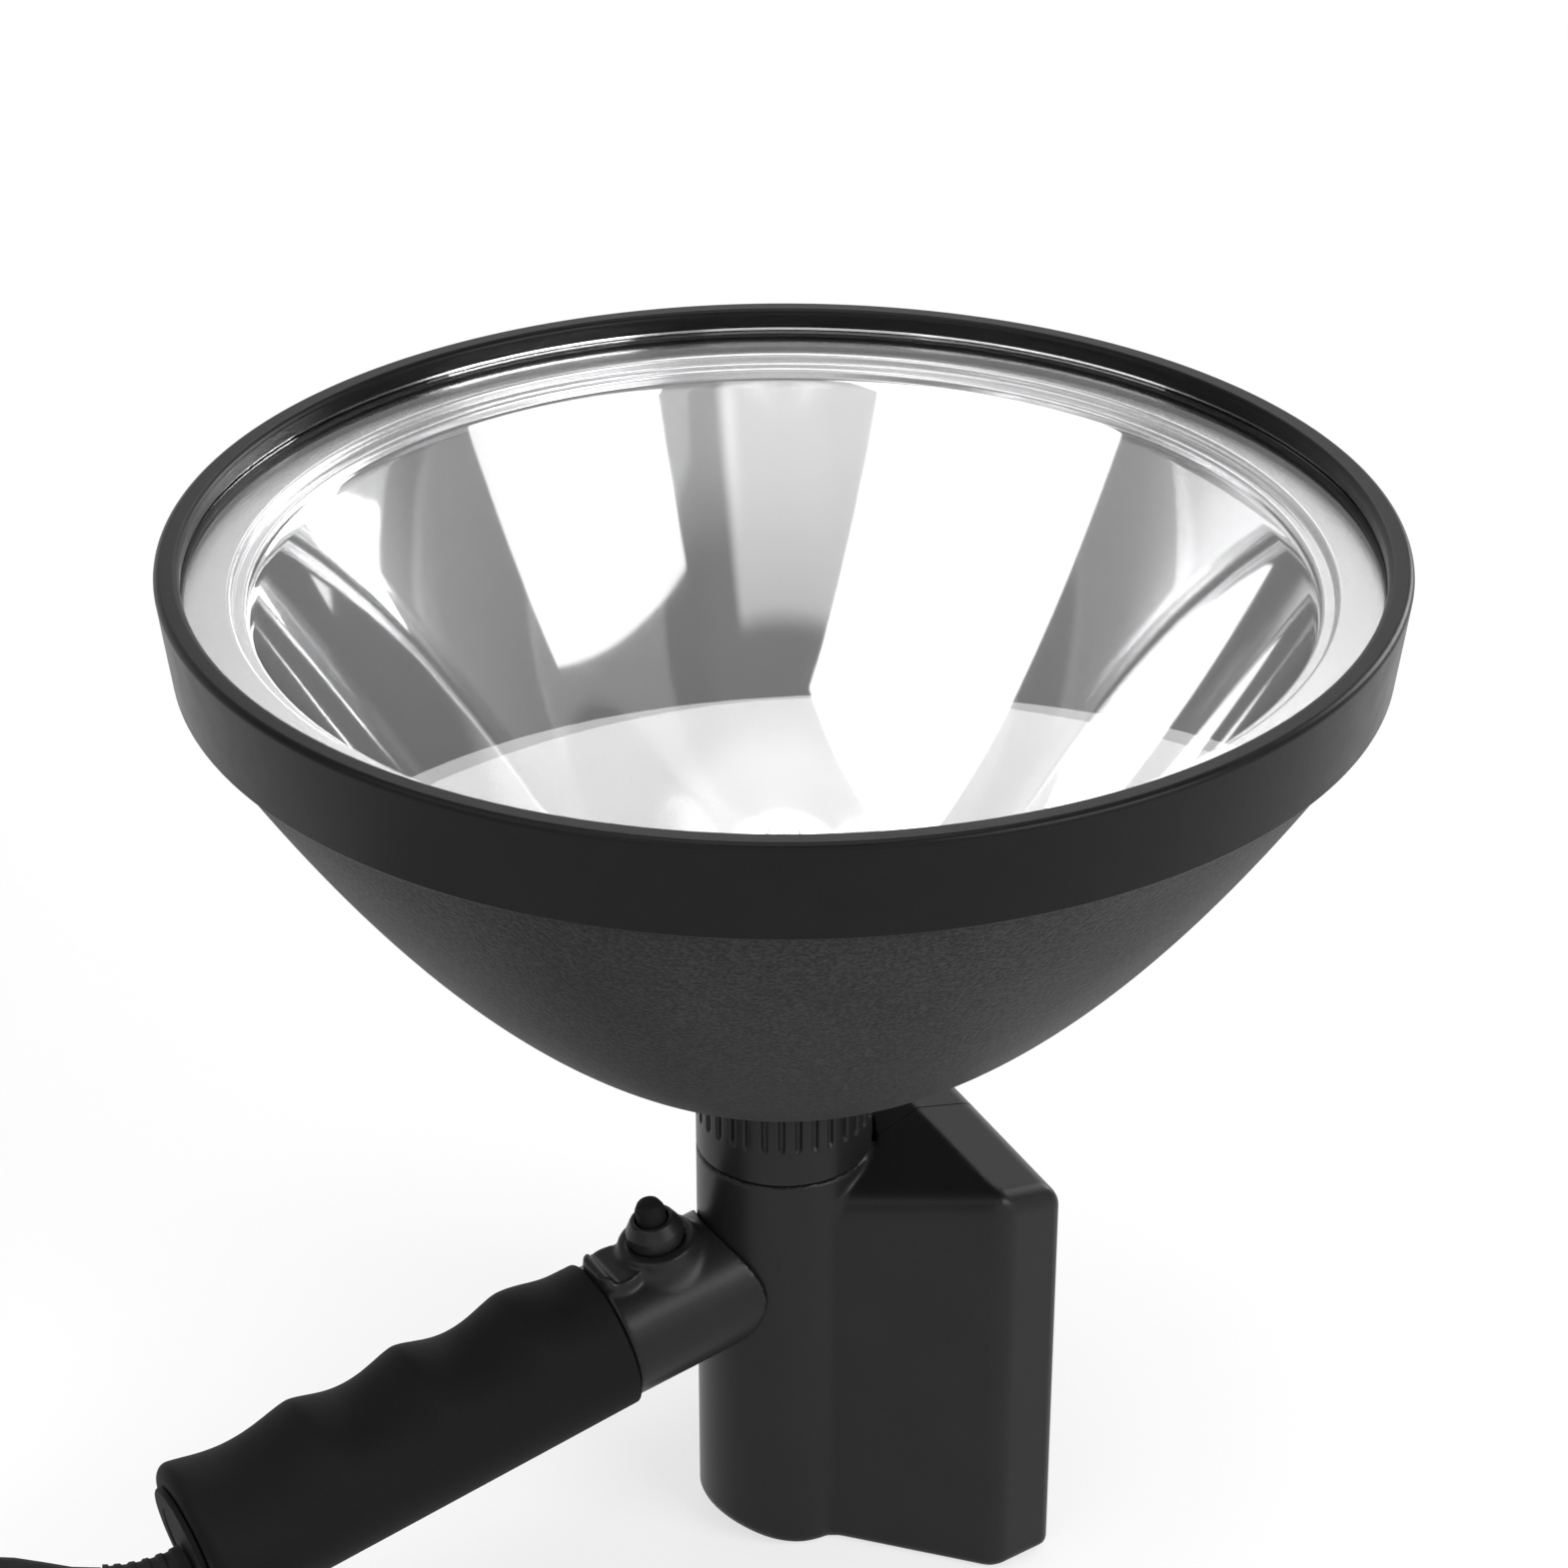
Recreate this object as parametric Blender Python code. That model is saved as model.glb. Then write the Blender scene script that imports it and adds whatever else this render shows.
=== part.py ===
# Handheld searchlight: a wide lamp head on a tube with a ballast box, a raked handle and a coiled cord.
# Metres, +Z along the beam. The origin is the centre of the tube's flat base, +X points to the ballast
# box and the handle leaves the tube towards -X.

import math

import bmesh
import bpy
from mathutils import Matrix, Vector

# Fits
FIT_GAP = 0.0003
RUN_GAP = 0.0004
CUT_OVERRUN = 0.004

# Tube
TUBE_RADIUS = 0.0186
TUBE_WALL = 0.0026
TUBE_HEIGHT = 0.0945
BASE_EDGE_RADIUS = 0.0022
FLOOR_THICKNESS = 0.003
FOOT_SLANT_START = 0.0078
FOOT_SLANT = math.radians(20)

# Ballast box
BOX_END = 0.0422
BOX_SHOULDER = 0.0267
BOX_HALF_WIDTH = 0.0455
BOX_END_HALF_WIDTH = 0.0437
BOX_WAIST_HALF_WIDTH = 0.0168
BOX_RIDGE_RISE = 0.0055
BOX_END_FALL = 0.0034
BOX_ROOF_SLOPE = math.radians(22)
BOX_ROOF_CROWN = math.radians(4.5)
BOX_TOP_EDGE_RADIUS = 0.0040
BOX_WALL = 0.0025
BOX_SEAM = -0.010
COLLAR_RECESS_GAP = 0.0009
WIRE_HOLE_RADIUS = 0.003
WIRE_HOLE_HEIGHT = 0.020

# Ballast module and the two long screws that close the box
BALLAST_THICKNESS = 0.015
BALLAST_WIDTH = 0.070
BALLAST_HEIGHT = 0.060
BALLAST_EDGE = 0.0015
SCREW_RADIUS = 0.0015
SCREW_HEAD_RADIUS = 0.0028
SCREW_HEAD_HEIGHT = 0.002
SCREW_LENGTH = 0.020
SCREW_SOCKET_RADIUS = 0.0013
SCREW_SOCKET_DEPTH = 0.0012
SCREW_TOWER_WALL = 0.0016
SCREW_TOWER_LIP = 0.0025

# Head
COLLAR_HEIGHT = 0.0210
COLLAR_RIBS = 32
COLLAR_RIB_START = 0.0080
COLLAR_RIB_LENGTH = 0.0105
COLLAR_GROOVE_WIDTH = 0.0012
COLLAR_GROOVE_DEPTH = 0.0008
COLLAR_NECK_RADIUS = 0.0172
COLLAR_NECK_LENGTH = 0.0035
HOUSING_DEPTH = 0.0983
HOUSING_WALL = 0.003
HOUSING_STEPS = 8
BEZEL_HEIGHT = 0.0203
RIM_RADIUS = 0.1225
BEZEL_TAPER = 0.0025
BEZEL_WALL = 0.0015
BEZEL_EDGE = 0.001
LIP_WIDTH = 0.0052
LIP_THICKNESS = 0.004
LENS_THICKNESS = 0.0026
GASKET_WIDTH = 0.0014
GASKET_THICKNESS = 0.0008
REFLECTOR_WALL = 0.002
REFLECTOR_FLANGE_WIDTH = 0.0094
REFLECTOR_STEP_DEPTH = 0.0022
REFLECTOR_STEP_WIDTH = 0.0030
REFLECTOR_LIP_DEPTH = 0.0025
REFLECTOR_EDGE = 0.0006
REFLECTOR_HOLE_RADIUS = 0.0115
REFLECTOR_SEAT = 0.0086
REFLECTOR_STEPS = 8

# Spigot and its nut, which carry the head
SPIGOT_RADIUS = 0.0143
SPIGOT_WALL = 0.0023
SPIGOT_FOOT_LENGTH = 0.0140
SPIGOT_THREAD_RADIUS = 0.0131
HEAD_NUT_RADIUS = 0.0164
HEAD_NUT_HEIGHT = 0.0028

# Lamp
LAMP_TRAVEL = 0.003
LAMP_TIP_LENGTH = 0.0175
LAMP_SHANK_LENGTH = 0.018
LAMP_RADIUS = 0.0042
LAMP_PINCH_RADIUS = 0.003
LAMP_BASE_RADIUS = 0.007
LAMP_BASE_FLANGE_RADIUS = 0.009
LAMP_BASE_HEIGHT = 0.0056
LAMP_BASE_FLANGE_HEIGHT = 0.0016
CARRIER_STEM_RADIUS = 0.008
CARRIER_HEIGHT = 0.016
CARRIER_LOW = 0.0015
LUG_WIDTH = 0.004
LUG_HEIGHT = 0.006
LUG_REACH = 0.002
CARRIER_BORE_RADIUS = 0.0035

# Handle: lengths along its axis are measured from the tube's axis
HANDLE_DROP = 0.0266
HANDLE_RAKE = math.radians(11.2)
NECK_RADIUS = 0.0148
NECK_END = 0.0438
CORE_RADIUS = 0.0105
GRIP_LENGTH = 0.0972
GRIP_NECK_RADIUS = 0.0160
GRIP_BUTT_RADIUS = 0.0178
GRIP_RIDGE_RADIUS = 0.0187
GRIP_LAST_RIDGE_RADIUS = 0.0171
GRIP_PLAIN_LENGTH = 0.005
GRIP_EDGE = 0.0032
GROOVE_PITCH = 0.0245
GROOVE_FIRST_RIDGE = 0.0178
GROOVE_COUNT = 3
GROOVE_DEPTH = 0.0037
BUTT_CAP_RADIUS = 0.0132
BUTT_CAP_THICKNESS = 0.0012
BUTT_PLUG_LENGTH = 0.008
WIRE_BORE_RADIUS = 0.004
NIPPLE_RADIUS = 0.005
NIPPLE_WALL = 0.0015
NUT_RADIUS = 0.0088
NUT_HEIGHT = 0.0032
PAD_RADIUS = 0.0092
PAD_FACE = 0.0129

# Switch on the neck's beam side
SWITCH_POSITION = 0.0279
BOSS_RADIUS = 0.0086
BOSS_HEIGHT = 0.0172
TAB_RADIUS = 0.0068
TAB_POSITION = 0.0385
TAB_HEIGHT = 0.0178
TAB_STEP = 0.0014
SWITCH_BODY_RADIUS = 0.0057
SWITCH_BODY_LENGTH = 0.0105
SWITCH_RING_RADIUS = 0.0061
SWITCH_RING_TOP_RADIUS = 0.0046
SWITCH_RING_HEIGHT = 0.0053
SWITCH_RING_SIDE = 0.0026
BOOT_RADIUS = 0.0032
BOOT_HEIGHT = 0.0070
BOOT_STEM_RADIUS = 0.0018
BOOT_STEM_LENGTH = 0.0065
BOOT_TRAVEL = 0.0025

# Cord and its coil
CORD_RADIUS = 0.003
RELIEF_DROP = 0.0040
RELIEF_RADIUS = 0.0041
RELIEF_TIP_RADIUS = 0.0036
RELIEF_LENGTH = 0.009
RELIEF_TURN = math.radians(24)
RELIEF_RISE = math.radians(6)
COIL_X = -0.262
COIL_Y = 0.022
COIL_RADIUS = 0.0445
COIL_PITCH = 0.0074
COIL_LAYERS = 4
COIL_TURNS_PER_LAYER = 2.5
COIL_CLIMB_TURNS = 0.5
COIL_POINTS_PER_TURN = 24
COIL_END_STRAIGHT = 0.006
TIE_THICKNESS = 0.0008
TIE_WIDTH = 0.010
TIE_CORNER = 0.0018
LEAST_CORD_GAP = 0.0004

# The free cord from the strain relief to the coil, after the relief's own end point
CORD_ROUTE = [
    (-0.1760, 0.0120, 0.0400),
    (-0.1920, 0.0235, 0.0360),
    (-0.2070, 0.0370, 0.0260),
    (-0.2195, 0.0510, 0.0145),
    (-0.2310, 0.0610, 0.0073),
]
# The lead from the top of the coil down to the plug's tail
LEAD_ROUTE = [
    (-0.2420, -0.0238, 0.0255),
    (-0.2300, -0.0270, 0.0210),
    (-0.2180, -0.0310, 0.0152),
]
ROUTE_STEP = 0.012

# Accessory plug, lying along +X beside the coil
PLUG_TAIL_X = -0.198
PLUG_Y = -0.034
PLUG_RADIUS = 0.012
PLUG_TAIL_RADIUS = 0.007
PLUG_TAIL_LENGTH = 0.012
PLUG_GRIP_LENGTH = 0.028
PLUG_NOSE_RADIUS = 0.0103
PLUG_NOSE_LENGTH = 0.026
PLUG_RING_RADIUS = 0.0086
PLUG_RING_LENGTH = 0.0065
PLUG_TIP_RADIUS = 0.0028
PLUG_TIP_REACH = 0.0055
PLUG_TIP_STEM = 0.012
PLUG_TIP_TRAVEL = 0.003
CONTACT_LENGTH = 0.017
CONTACT_WIDTH = 0.004
CONTACT_RISE = 0.0014
CONTACT_THICKNESS = 0.0016
CONTACT_TRAVEL = 0.001

# Steps round each kind of turned piece, and along the grip, the strain relief and a route
HEAD_SIDES = 48
TUBE_SIDES = 40
PIN_SIDES = 16
NUT_SIDES = 6
GRIP_SIDES = 20
GRIP_STATIONS = 28
RELIEF_STEPS = 6
ROUTE_FINENESS = 24

# Points closer than this are one point, and edges sharper than this angle stay sharp
WELD_DISTANCE = 0.0000001
SHARP_ANGLE = math.radians(35)

# Sizes that follow from the ones above
TUBE_BORE = TUBE_RADIUS - TUBE_WALL
BOX_RIDGE_HEIGHT = TUBE_HEIGHT + BOX_RIDGE_RISE
BOX_END_HEIGHT = BOX_RIDGE_HEIGHT - BOX_END_FALL
HANDLE_HEIGHT = TUBE_HEIGHT - HANDLE_DROP
SLANT_RISE = (TUBE_RADIUS - FOOT_SLANT_START) * math.tan(FOOT_SLANT)
COLLAR_FOOT_Z = TUBE_HEIGHT
COLLAR_TOP_Z = COLLAR_FOOT_Z + COLLAR_HEIGHT
HOUSING_FOOT_Z = COLLAR_TOP_Z + FIT_GAP
BEZEL_FOOT_Z = HOUSING_FOOT_Z + HOUSING_DEPTH
RIM_Z = BEZEL_FOOT_Z + BEZEL_HEIGHT
BEZEL_FOOT_RADIUS = RIM_RADIUS - BEZEL_TAPER
BEZEL_BORE = BEZEL_FOOT_RADIUS - BEZEL_WALL
HOUSING_RIM_RADIUS = BEZEL_BORE - FIT_GAP
LIP_RADIUS = RIM_RADIUS - LIP_WIDTH
LENS_RADIUS = BEZEL_BORE - FIT_GAP
LENS_TOP_Z = RIM_Z - LIP_THICKNESS - FIT_GAP
LENS_FOOT_Z = LENS_TOP_Z - LENS_THICKNESS
GASKET_TOP_Z = LENS_FOOT_Z - FIT_GAP
GASKET_FOOT_Z = GASKET_TOP_Z - GASKET_THICKNESS
FLANGE_TOP_Z = GASKET_FOOT_Z - FIT_GAP
FLANGE_FOOT_Z = FLANGE_TOP_Z - REFLECTOR_WALL
HOUSING_TOP_Z = FLANGE_FOOT_Z - FIT_GAP
FLANGE_RADIUS = LENS_RADIUS - FIT_GAP
STEP_RADIUS = LIP_RADIUS - REFLECTOR_FLANGE_WIDTH
STEP_Z = FLANGE_TOP_Z - REFLECTOR_STEP_DEPTH
MOUTH_RADIUS = STEP_RADIUS - REFLECTOR_STEP_WIDTH - REFLECTOR_EDGE
MOUTH_Z = STEP_Z - REFLECTOR_LIP_DEPTH
REFLECTOR_VERTEX_Z = HOUSING_FOOT_Z + REFLECTOR_SEAT
FOCAL_LENGTH = MOUTH_RADIUS**2 / (4 * (MOUTH_Z - REFLECTOR_VERTEX_Z))
LIGHT_CENTRE_Z = REFLECTOR_VERTEX_Z + FOCAL_LENGTH
COLLAR_BORE = SPIGOT_RADIUS + RUN_GAP
NUT_SEAT_Z = COLLAR_TOP_Z + COLLAR_NECK_LENGTH + RUN_GAP
SPIGOT_TOP_Z = NUT_SEAT_Z + HEAD_NUT_HEIGHT
SPIGOT_BORE = SPIGOT_RADIUS - SPIGOT_WALL
BOX_CAVITY_END = BOX_END - BOX_WALL
LAMP_BASE_Z = LIGHT_CENTRE_Z - LAMP_SHANK_LENGTH
CARRIER_Z = TUBE_HEIGHT + CARRIER_LOW
GRIP_START = NECK_END + FIT_GAP
GRIP_END = GRIP_START + GRIP_LENGTH
CORE_END = GRIP_END - BUTT_PLUG_LENGTH
PLUG_Z = PLUG_RADIUS + FIT_GAP
COIL_FLOOR_Z = CORD_RADIUS + TIE_THICKNESS + 2 * FIT_GAP
COIL_TOP_Z = COIL_FLOOR_Z + (COIL_LAYERS - 1) * COIL_PITCH
COIL_INNER_RADIUS = COIL_RADIUS - COIL_TURNS_PER_LAYER * COIL_PITCH

HANDLE_AXIS = Vector((-math.cos(HANDLE_RAKE), 0, -math.sin(HANDLE_RAKE)))
HANDLE_UP = Vector((-math.sin(HANDLE_RAKE), 0, math.cos(HANDLE_RAKE)))
HANDLE_ROOT = Vector((0, 0, HANDLE_HEIGHT))

# Shares of a piece's own size, chosen by hand
TIP_ROUND_SHARES = [(1, 0.55), (0.86, 0.80), (0.52, 0.95), (0, 1)]
BOOT_SHARES = [(1, 0), (1, 0.60), (0.80, 0.88), (0.45, 0.97), (0, 1)]
ROUND_SHARES = [(1, 0), (0.5, 0.13), (0.13, 0.5), (0, 1)]
FACING_SHARE = 1.5
PARALLEL_SHARE = 0.000001
CONTACT_SHARES = [(-0.5, 0), (-0.32, 0.85), (-0.12, 1), (0.12, 1), (0.32, 0.85), (0.5, 0)]


def clear_scene():
    """Remove whatever the scene holds."""
    for obj in list(bpy.data.objects):
        bpy.data.objects.remove(obj, do_unlink=True)


def make_material(name, colour, roughness, metallic=0, alpha=1):
    """A plain finish: base colour, roughness, metallic value and opacity."""
    material = bpy.data.materials.new(name)
    material.use_nodes = True
    shader = material.node_tree.nodes["Principled BSDF"]
    shader.inputs["Base Color"].default_value = (*colour, 1)
    shader.inputs["Roughness"].default_value = roughness
    shader.inputs["Metallic"].default_value = metallic
    shader.inputs["Alpha"].default_value = alpha
    material.diffuse_color = (*colour, alpha)
    return material


def finish_object(name, mesh, material, parent=None):
    """Put a mesh in the scene as a smooth-shaded object with its material."""
    mesh.materials.append(material)
    mesh.shade_smooth()
    mesh.set_sharp_from_angle(angle=SHARP_ANGLE)
    obj = bpy.data.objects.new(name, mesh)
    bpy.context.collection.objects.link(obj)
    obj.parent = parent
    return obj


def mesh_from(bm, name):
    """Weld, face outwards and hand over a bmesh as a mesh."""
    bmesh.ops.remove_doubles(bm, verts=bm.verts, dist=WELD_DISTANCE)
    bmesh.ops.recalc_face_normals(bm, faces=bm.faces)
    mesh = bpy.data.meshes.new(name)
    bm.to_mesh(mesh)
    bm.free()
    return mesh


def guide(name, parent=None, location=(0, 0, 0), rotation=(0, 0, 0)):
    """An empty that carries pieces at a place and an angle."""
    empty = bpy.data.objects.new(name, None)
    bpy.context.collection.objects.link(empty)
    empty.parent = parent
    empty.location = location
    empty.rotation_euler = rotation
    return empty


def turned(name, outline, material, sides, parent=None):
    """Spin an outline of (radius, height) points about Z; it closes on itself or ends on the axis."""
    bm = bmesh.new()
    verts = [bm.verts.new((radius, 0, height)) for radius, height in outline]
    on_axis = outline[0][0] == 0 and outline[-1][0] == 0
    pairs = list(zip(verts, verts[1:]))
    if not on_axis:
        pairs.append((verts[-1], verts[0]))
    edges = [bm.edges.new(pair) for pair in pairs]
    bmesh.ops.spin(
        bm, geom=verts + edges, cent=(0, 0, 0), axis=(0, 0, 1), angle=2 * math.pi, steps=sides, use_merge=True
    )
    return finish_object(name, mesh_from(bm, name), material, parent)


def ring_outline(inner, outer, low, high):
    """The section of a plain ring or, with no inner radius, of a plain disc."""
    return [(inner, low), (outer, low), (outer, high), (inner, high)]


def lofted(name, rings, material, parent=None):
    """Join rings of equal point counts into one body."""
    bm = bmesh.new()
    loops = [[bm.verts.new(point) for point in ring] for ring in rings]
    count = len(loops[0])
    for lower, upper in zip(loops, loops[1:]):
        for i in range(count):
            j = (i + 1) % count
            bm.faces.new((lower[i], lower[j], upper[j], upper[i]))
    bm.faces.new(loops[0][::-1])
    bm.faces.new(loops[-1])
    bmesh.ops.triangulate(bm, faces=bm.faces)
    return finish_object(name, mesh_from(bm, name), material, parent)


def block(name, low, high, material, parent=None):
    """A box between two corners."""
    x0, y0, z0 = low
    x1, y1, z1 = high
    base = [(x0, y0), (x1, y0), (x1, y1), (x0, y1)]
    return lofted(name, [[(x, y, z) for x, y in base] for z in (z0, z1)], material, parent)


def shape(target, tool, operation):
    """Combine a body with a guide body, which stays hidden."""
    step = target.modifiers.new(operation.title() + " " + tool.name, "BOOLEAN")
    step.operation = operation
    step.object = tool
    tool.hide_render = True
    tool.display_type = "WIRE"


def cut(target, tool):
    shape(target, tool, "DIFFERENCE")


def join(target, tool):
    shape(target, tool, "UNION")


def keep(target, tool):
    shape(target, tool, "INTERSECT")


def inset_corners(corners, inset):
    """Move every side of a convex outline, listed anticlockwise, inwards by one distance."""
    moved = []
    count = len(corners)
    for i in range(count):
        before, here, after = (Vector(corners[k % count]) for k in (i - 1, i, i + 1))
        first = (here - before).normalized()
        second = (after - here).normalized()
        first_normal = Vector((-first.y, first.x))
        second_normal = Vector((-second.y, second.x))
        bisector = (first_normal + second_normal).normalized()
        moved.append(here + bisector * (inset / bisector.dot(first_normal)))
    return moved


def roof_height(x, y):
    """Height of the ballast box's top, which falls from its ridge to the tube, the end and the sides."""
    fall = abs(y) * math.tan(BOX_ROOF_CROWN)
    if x > BOX_SHOULDER:
        share = (x - BOX_SHOULDER) / (BOX_END - BOX_SHOULDER)
        return BOX_RIDGE_HEIGHT + share * (BOX_END_HEIGHT - BOX_RIDGE_HEIGHT) - fall
    return BOX_RIDGE_HEIGHT - (BOX_SHOULDER - x) * math.tan(BOX_ROOF_SLOPE) - fall


def box_corners():
    """Plan of the whole ballast box, anticlockwise from the waist on the -Y side."""
    return [
        (0, -BOX_WAIST_HALF_WIDTH),
        (BOX_SHOULDER, -BOX_HALF_WIDTH),
        (BOX_END, -BOX_END_HALF_WIDTH),
        (BOX_END, 0),
        (BOX_END, BOX_END_HALF_WIDTH),
        (BOX_SHOULDER, BOX_HALF_WIDTH),
        (0, BOX_WAIST_HALF_WIDTH),
        (0, 0),
    ]


def box_ring(inset, base, drop):
    """One outline of the box, at a height above its base or a drop below its roof."""
    points = []
    for p in inset_corners(box_corners(), inset):
        points.append((p.x, p.y, base if drop is None else roof_height(p.x, p.y) - drop))
    return points


def box_body(name, material, wall=0):
    """The ballast box's outer body with rounded edges or, with a wall, its inner space."""
    if wall:
        rings = [box_ring(wall, FLOOR_THICKNESS, None), box_ring(wall, 0, wall)]
    else:
        rings = []
        for inward, upward in ROUND_SHARES:
            rings.append(box_ring(inward * BASE_EDGE_RADIUS, upward * BASE_EDGE_RADIUS, None))
        for inward, upward in reversed(ROUND_SHARES):
            rings.append(box_ring(inward * BOX_TOP_EDGE_RADIUS, 0, upward * BOX_TOP_EDGE_RADIUS))
    bm = bmesh.new()
    loops = [[bm.verts.new(point) for point in ring] for ring in rings]
    count = len(loops[0])
    for lower, upper in zip(loops, loops[1:]):
        for i in range(count):
            j = (i + 1) % count
            bm.faces.new((lower[i], lower[j], upper[j], upper[i]))
    bm.faces.new(loops[0][::-1])
    top = loops[-1]
    ridge_x = top[1].co.x
    middle = bm.verts.new((ridge_x, 0, roof_height(ridge_x, 0) - wall))
    for quarter in ((0, 1, None, 7), (1, 2, 3, None), (None, 3, 4, 5), (7, None, 5, 6)):
        bm.faces.new([middle if i is None else top[i] for i in quarter])
    bmesh.ops.triangulate(bm, faces=bm.faces)
    return finish_object(name, mesh_from(bm, name), material)


def tower_heights():
    """Heights of the two screws' axes in the ballast box."""
    reach = SCREW_HEAD_RADIUS + FIT_GAP + SCREW_TOWER_WALL
    low = FLOOR_THICKNESS + reach + FIT_GAP
    high = roof_height(BOX_CAVITY_END, BOX_END_HALF_WIDTH) - BOX_WALL - reach - FIT_GAP
    return [low, high]


def turned_along_y(name, x, z, outline, material):
    """A round body along Y, from an outline of (radius, place along Y)."""
    rings = []
    for radius, y in outline:
        ring = []
        for i in range(PIN_SIDES):
            angle = 2 * math.pi * i / PIN_SIDES
            ring.append((x + radius * math.cos(angle), y, z + radius * math.sin(angle)))
        rings.append(ring)
    return lofted(name, rings, material)


def screw_column_x():
    """Both screws stand midway between the box's shoulder and its end wall."""
    return (BOX_SHOULDER + BOX_CAVITY_END) / 2


def side_half_width(x):
    """Half the box's width between its shoulder and its end."""
    share = (x - BOX_SHOULDER) / (BOX_END - BOX_SHOULDER)
    return BOX_HALF_WIDTH + share * (BOX_END_HALF_WIDTH - BOX_HALF_WIDTH)


def recess_wall(name, material):
    """The body of roof that stays round and under the collar's recess."""
    radius = TUBE_RADIUS + COLLAR_RECESS_GAP + BOX_WALL
    low = TUBE_HEIGHT - RUN_GAP - BOX_WALL
    return turned(name, ring_outline(0, radius, low, BOX_RIDGE_HEIGHT + CUT_OVERRUN), material, TUBE_SIDES)


def build_body(plastic):
    """The moulded body: the tube and the near part of the ballast box."""
    foot = [(TUBE_RADIUS - i * BASE_EDGE_RADIUS, u * BASE_EDGE_RADIUS) for i, u in ROUND_SHARES]
    outline = [(0, 0), *foot, (TUBE_RADIUS, TUBE_HEIGHT - RUN_GAP), (0, TUBE_HEIGHT - RUN_GAP)]
    body = turned("body_shell", outline, plastic, TUBE_SIDES)

    near_box = box_body("near_box_guide", plastic)
    near_side = block(
        "near_side_guide",
        (-BOX_END, -BOX_HALF_WIDTH - CUT_OVERRUN, -CUT_OVERRUN),
        (BOX_END + CUT_OVERRUN, BOX_SEAM - FIT_GAP / 2, BOX_RIDGE_HEIGHT + CUT_OVERRUN),
        plastic,
    )
    keep(near_box, near_side)
    join(body, near_box)

    cavity = box_body("near_cavity_guide", plastic, BOX_WALL)
    tube_outside = turned(
        "tube_outside_guide",
        ring_outline(0, TUBE_RADIUS + FIT_GAP, -CUT_OVERRUN, BOX_RIDGE_HEIGHT + CUT_OVERRUN),
        plastic,
        TUBE_SIDES,
    )
    cut(cavity, tube_outside)
    cut(cavity, recess_wall("near_recess_wall_guide", plastic))
    near_limit = block(
        "near_limit_guide",
        (-BOX_END, -BOX_HALF_WIDTH - CUT_OVERRUN, -CUT_OVERRUN),
        (BOX_END + CUT_OVERRUN, BOX_SEAM + CUT_OVERRUN, BOX_RIDGE_HEIGHT + CUT_OVERRUN),
        plastic,
    )
    keep(cavity, near_limit)
    cut(body, cavity)

    recess = turned(
        "collar_recess_guide",
        ring_outline(0, TUBE_RADIUS + COLLAR_RECESS_GAP, TUBE_HEIGHT - RUN_GAP, BOX_RIDGE_HEIGHT + CUT_OVERRUN),
        plastic,
        TUBE_SIDES,
    )
    cut(body, recess)
    slant_place = guide("slant_place", location=(-FOOT_SLANT_START, 0, 0), rotation=(0, FOOT_SLANT, 0))
    slant = block(
        "foot_slant_guide",
        (-2 * TUBE_RADIUS, -TUBE_RADIUS - CUT_OVERRUN, -TUBE_RADIUS),
        (CUT_OVERRUN, TUBE_RADIUS + CUT_OVERRUN, 0),
        plastic,
        slant_place,
    )
    cut(body, slant)
    bore = turned(
        "tube_bore_guide",
        ring_outline(0, TUBE_BORE, FLOOR_THICKNESS + SLANT_RISE, TUBE_HEIGHT + CUT_OVERRUN),
        plastic,
        TUBE_SIDES,
    )
    cut(body, bore)

    x = screw_column_x()
    in_wall = side_half_width(x) - BOX_WALL / 2
    tower_radius = SCREW_RADIUS + SCREW_TOWER_WALL
    for number, height in enumerate(tower_heights(), 1):
        ends = (-in_wall, BOX_SEAM - FIT_GAP / 2)
        outline = [(tower_radius, y) for y in ends]
        join(body, turned_along_y(f"near_tower_{number}_guide", x, height, outline, plastic))
        ends = (BOX_SEAM - SCREW_LENGTH, BOX_SEAM + CUT_OVERRUN)
        outline = [(SCREW_RADIUS + FIT_GAP, y) for y in ends]
        cut(body, turned_along_y(f"near_pilot_{number}_guide", x, height, outline, plastic))

    handle_place = guide("pad_place", location=HANDLE_ROOT, rotation=(0, -math.pi / 2 - HANDLE_RAKE, 0))
    pad = turned(
        "handle_pad_guide",
        ring_outline(0, PAD_RADIUS, PAD_FACE, TUBE_RADIUS + PAD_RADIUS),
        plastic,
        PIN_SIDES,
        handle_place,
    )
    within_wall = turned(
        "within_wall_guide",
        ring_outline(0, TUBE_RADIUS - TUBE_WALL / 2, 0, TUBE_HEIGHT),
        plastic,
        TUBE_SIDES,
    )
    keep(pad, within_wall)
    join(body, pad)
    nipple_hole = turned(
        "nipple_hole_guide",
        ring_outline(0, NIPPLE_RADIUS + FIT_GAP, PAD_FACE - CUT_OVERRUN, TUBE_RADIUS + CUT_OVERRUN),
        plastic,
        PIN_SIDES,
        handle_place,
    )
    cut(body, nipple_hole)
    wire_place = guide("wire_place", location=(0, 0, WIRE_HOLE_HEIGHT), rotation=(0, math.pi / 2, 0))
    wire_hole = turned(
        "wire_hole_guide",
        ring_outline(0, WIRE_HOLE_RADIUS, TUBE_BORE - CUT_OVERRUN, TUBE_RADIUS + CUT_OVERRUN),
        plastic,
        PIN_SIDES,
        wire_place,
    )
    cut(body, wire_hole)
    return body


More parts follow.
